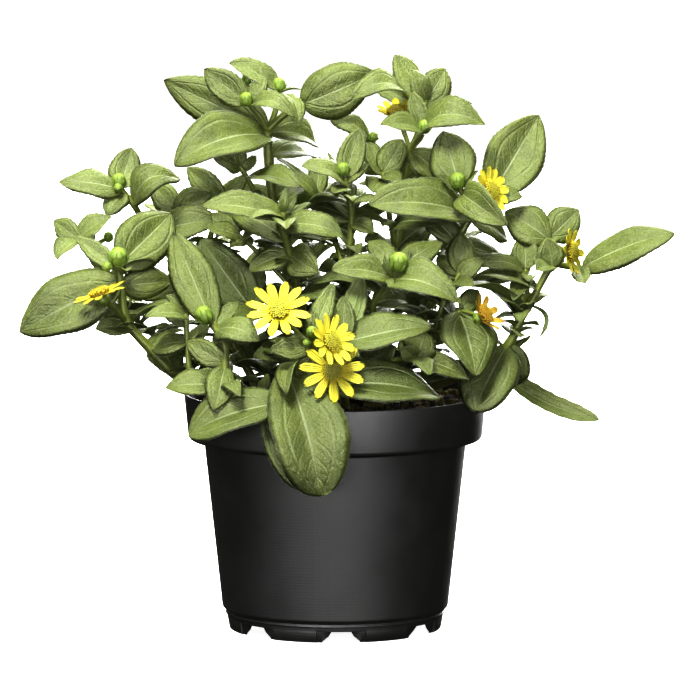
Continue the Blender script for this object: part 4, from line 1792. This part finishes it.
class ZINNIA_OT_soil(bpy.types.Operator):
    """Crumble the top of the soil round the stems"""

    bl_idname = "zinnia.soil"
    bl_label = "Crumble soil"

    def execute(self, context):
        """Give the CAD soil its material and strew crumbs on it."""
        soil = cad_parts["soil"]
        for slot in soil.material_slots:
            slot.material = material(soil_material)
        chance = np.random.default_rng(SEED + 3)
        reach = CRUMB_REACH * np.sqrt(chance.uniform(0, 1, CRUMBS))
        turn = chance.uniform(0, math.tau, CRUMBS)
        size = sizes().crumb_size / MM * 0.5 * chance.lognormal(0, CRUMB_SPREAD, CRUMBS)
        centre = ring_points(reach, turn, SOIL_TOP + 0.1 + chance.uniform(0, 0.9, CRUMBS))
        points = []
        for wide, height in CRUMB_RINGS:
            for k in range(CRUMB_SIDES):
                jitter = size * chance.uniform(0.7, 1.25, CRUMBS)
                angle = k * math.tau / CRUMB_SIDES + turn * 3
                points.append(centre + ring_points(wide * jitter, angle, height * size * CRUMB_FLAT))
        points += [centre + np.outer(size * CRUMB_FLAT, (0, 0, end)) for end in (-1, 1)]
        each = len(points)
        crumbs = Patches("tint")
        crumbs.add(np.stack(points, 1), copies(stack_faces(len(CRUMB_RINGS), CRUMB_SIDES), CRUMBS, each),
                   tint=np.repeat(chance.uniform(0, 1, CRUMBS), each))
        crumbs.make("soil_crumbs", crumb_material, "soil", [], smooth=False)
        return {"FINISHED"}


class ZINNIA_OT_pot(bpy.types.Operator):
    """Turn the fine pot, with its notched foot and its drain holes"""

    bl_idname = "zinnia.pot"
    bl_label = "Turn pot"

    def execute(self, context):
        """Make the pot from its wall, the two faces of its floor and its drains."""
        angles, off, each = pot_angles()
        floor = FLOOR_UNDERSIDE + WALL
        shell = Patches()
        for points, faces in [pot_wall(angles, off), *floor_parts(floor, angles, each, False),
                              *floor_parts(FLOOR_UNDERSIDE, angles, each, True), *drain_walls()]:
            shell.add(points, faces)
        shell.weld()
        made = shell.make("nursery_pot", pot_material, "pot", ["pot"])
        made.data.set_sharp_from_angle(angle=POT_SHARP)
        return {"FINISHED"}


# Camera: where it stands and what it looks at, in mm, its lens and its sensor in mm, and how far
# it sees in metres
CAMERA_PLACE = (5.1, -2800.0, 445.0)
CAMERA_TARGET = (5.1, 0.0, 112.0)
CAMERA_LENS = 366.5
SENSOR_WIDTH = 36.0
CAMERA_END = 20.0

# Floor: half its side and its level in metres and how much it glows. Then the strength and colour
# of the even light around, and the gamma of the display
FLOOR_REACH = 9.0
FLOOR_LEVEL = -0.0002
FLOOR_GLOW = 0.98
AMBIENT = 0.06
AMBIENT_COLOUR = (1.0, 0.97, 0.62, 1.0)
DISPLAY_GAMMA = 0.72

# Soft lights: name, place, what it faces, width and height, all in metres, power in watts, and
# whether it lights only matt surfaces, only glossy ones or both
LIGHTS = (
    ("key", (-0.35, -0.9, 1.45), (0, 0, 0.15), (0.5, 0.5), 49.0, "both"),
    ("front", (-0.12, -1.7, 0.12), (0, 0, 0.05), (3.2, 0.5), 117.0, "gloss"),
    ("fill", (0.1, -1.8, 0.5), (0, 0, 0.1), (0.8, 0.8), 12.0, "both"),
    ("top", (0.1, 0.2, 1.6), (0, 0, 0.15), (0.6, 0.6), 24.0, "both"),
    ("back", (0.5, 1.5, 0.8), (0, 0, 0.12), (0.9, 0.9), 40.0, "both"),
    ("back_left", (-1.3, 0.9, 0.4), (0, 0, 0.1), (0.9, 0.9), 30.0, "matt"),
    ("right", (1.5, 0.2, 0.5), (0, 0, 0.12), (0.9, 0.9), 16.0, "matt"),
    ("back_shine", (0.2, 1.8, 0.12), (0, 0, 0.05), (1.3, 0.5), 60.0, "gloss"),
)


def face_target(made, place, target):
    """Stand an object at a place and turn it to face a target; lengths in metres."""
    aim = np.subtract(target, place)
    made.location = place
    made.rotation_euler = (math.acos(-aim[2] / np.linalg.norm(aim)), 0,
                           math.atan2(aim[1], aim[0]) - math.pi / 2)


def add_light(name, place, target, size, power, reach):
    """A soft light that faces a target; lengths in metres."""
    lamp = bpy.data.lights.new(name, "AREA")
    lamp.shape = "RECTANGLE"
    lamp.size, lamp.size_y = size
    lamp.energy = power
    made = add_object(name, lamp)
    face_target(made, place, target)
    made.visible_diffuse = reach != "gloss"
    made.visible_glossy = reach != "matt"


class ZINNIA_OT_stage(bpy.types.Operator):
    """Set the pale floor, the soft lights and the camera"""

    bl_idname = "zinnia.stage"
    bl_label = "Set stage"

    def execute(self, context):
        """Make the floor, the lights, the surroundings and the camera."""
        floor, _, shader, _ = new_material("stage_floor", 0.9)
        for name in ("Base Color", "Emission Color"):
            shader.inputs[name].default_value = tuple(colours().floor)
        shader.inputs["Emission Strength"].default_value = FLOOR_GLOW
        edge = np.array([-FLOOR_REACH, FLOOR_REACH])
        points = np.stack(np.broadcast_arrays(edge[None], edge[:, None], FLOOR_LEVEL), -1)
        mesh = bpy.data.meshes.new("floor")
        mesh.from_pydata(points.reshape(-1, 3).tolist(), [], grid_faces(1, 1).tolist())
        mesh.materials.append(floor)
        ground = add_object("floor", mesh)
        ground.visible_diffuse = False
        ground.visible_glossy = False
        for light in LIGHTS:
            add_light(*light)
        world = bpy.data.worlds.new("surroundings")
        world.use_nodes = True
        around = world.node_tree.nodes["Background"].inputs
        around["Color"].default_value = AMBIENT_COLOUR
        around["Strength"].default_value = AMBIENT
        context.scene.world = world
        context.scene.view_settings.view_transform = "Standard"
        context.scene.view_settings.gamma = DISPLAY_GAMMA
        lens = bpy.data.cameras.new("camera")
        lens.lens = CAMERA_LENS
        lens.sensor_width = SENSOR_WIDTH
        lens.clip_end = CAMERA_END
        camera = add_object("camera", lens)
        face_target(camera, np.array(CAMERA_PLACE) * MM, np.array(CAMERA_TARGET) * MM)
        context.scene.camera = camera
        return {"FINISHED"}


class ZINNIA_PT_panel(bpy.types.Panel):
    """The plant's pieces and settings"""

    bl_label = "Potted zinnia"
    bl_space_type = "VIEW_3D"
    bl_region_type = "UI"
    bl_category = "Zinnia"

    def draw(self, context):
        """List the operators and the settings."""
        for step in STEPS:
            self.layout.operator(step.bl_idname)
        for group in (context.scene.zinnia_sizes, context.scene.zinnia_colours):
            for name in group.__annotations__:
                self.layout.prop(group, name)


STEPS = (ZINNIA_OT_pot, ZINNIA_OT_soil, ZINNIA_OT_stems, ZINNIA_OT_leaves, ZINNIA_OT_buds,
         ZINNIA_OT_blooms, ZINNIA_OT_stage)
CLASSES = (ZinniaSizes, ZinniaColours) + STEPS + (ZINNIA_PT_panel,)


def register():
    """Register the classes and the scene's settings."""
    for item in CLASSES:
        bpy.utils.register_class(item)
    bpy.types.Scene.zinnia_sizes = bpy.props.PointerProperty(type=ZinniaSizes)
    bpy.types.Scene.zinnia_colours = bpy.props.PointerProperty(type=ZinniaColours)


def unregister():
    """Take back what register added."""
    del bpy.types.Scene.zinnia_colours
    del bpy.types.Scene.zinnia_sizes
    for item in reversed(CLASSES):
        bpy.utils.unregister_class(item)


def main():
    """Dress the plant."""
    register()
    for step in STEPS:
        group, name = step.bl_idname.split(".")
        getattr(getattr(bpy.ops, group), name)()


if __name__ == "__main__":
    main()
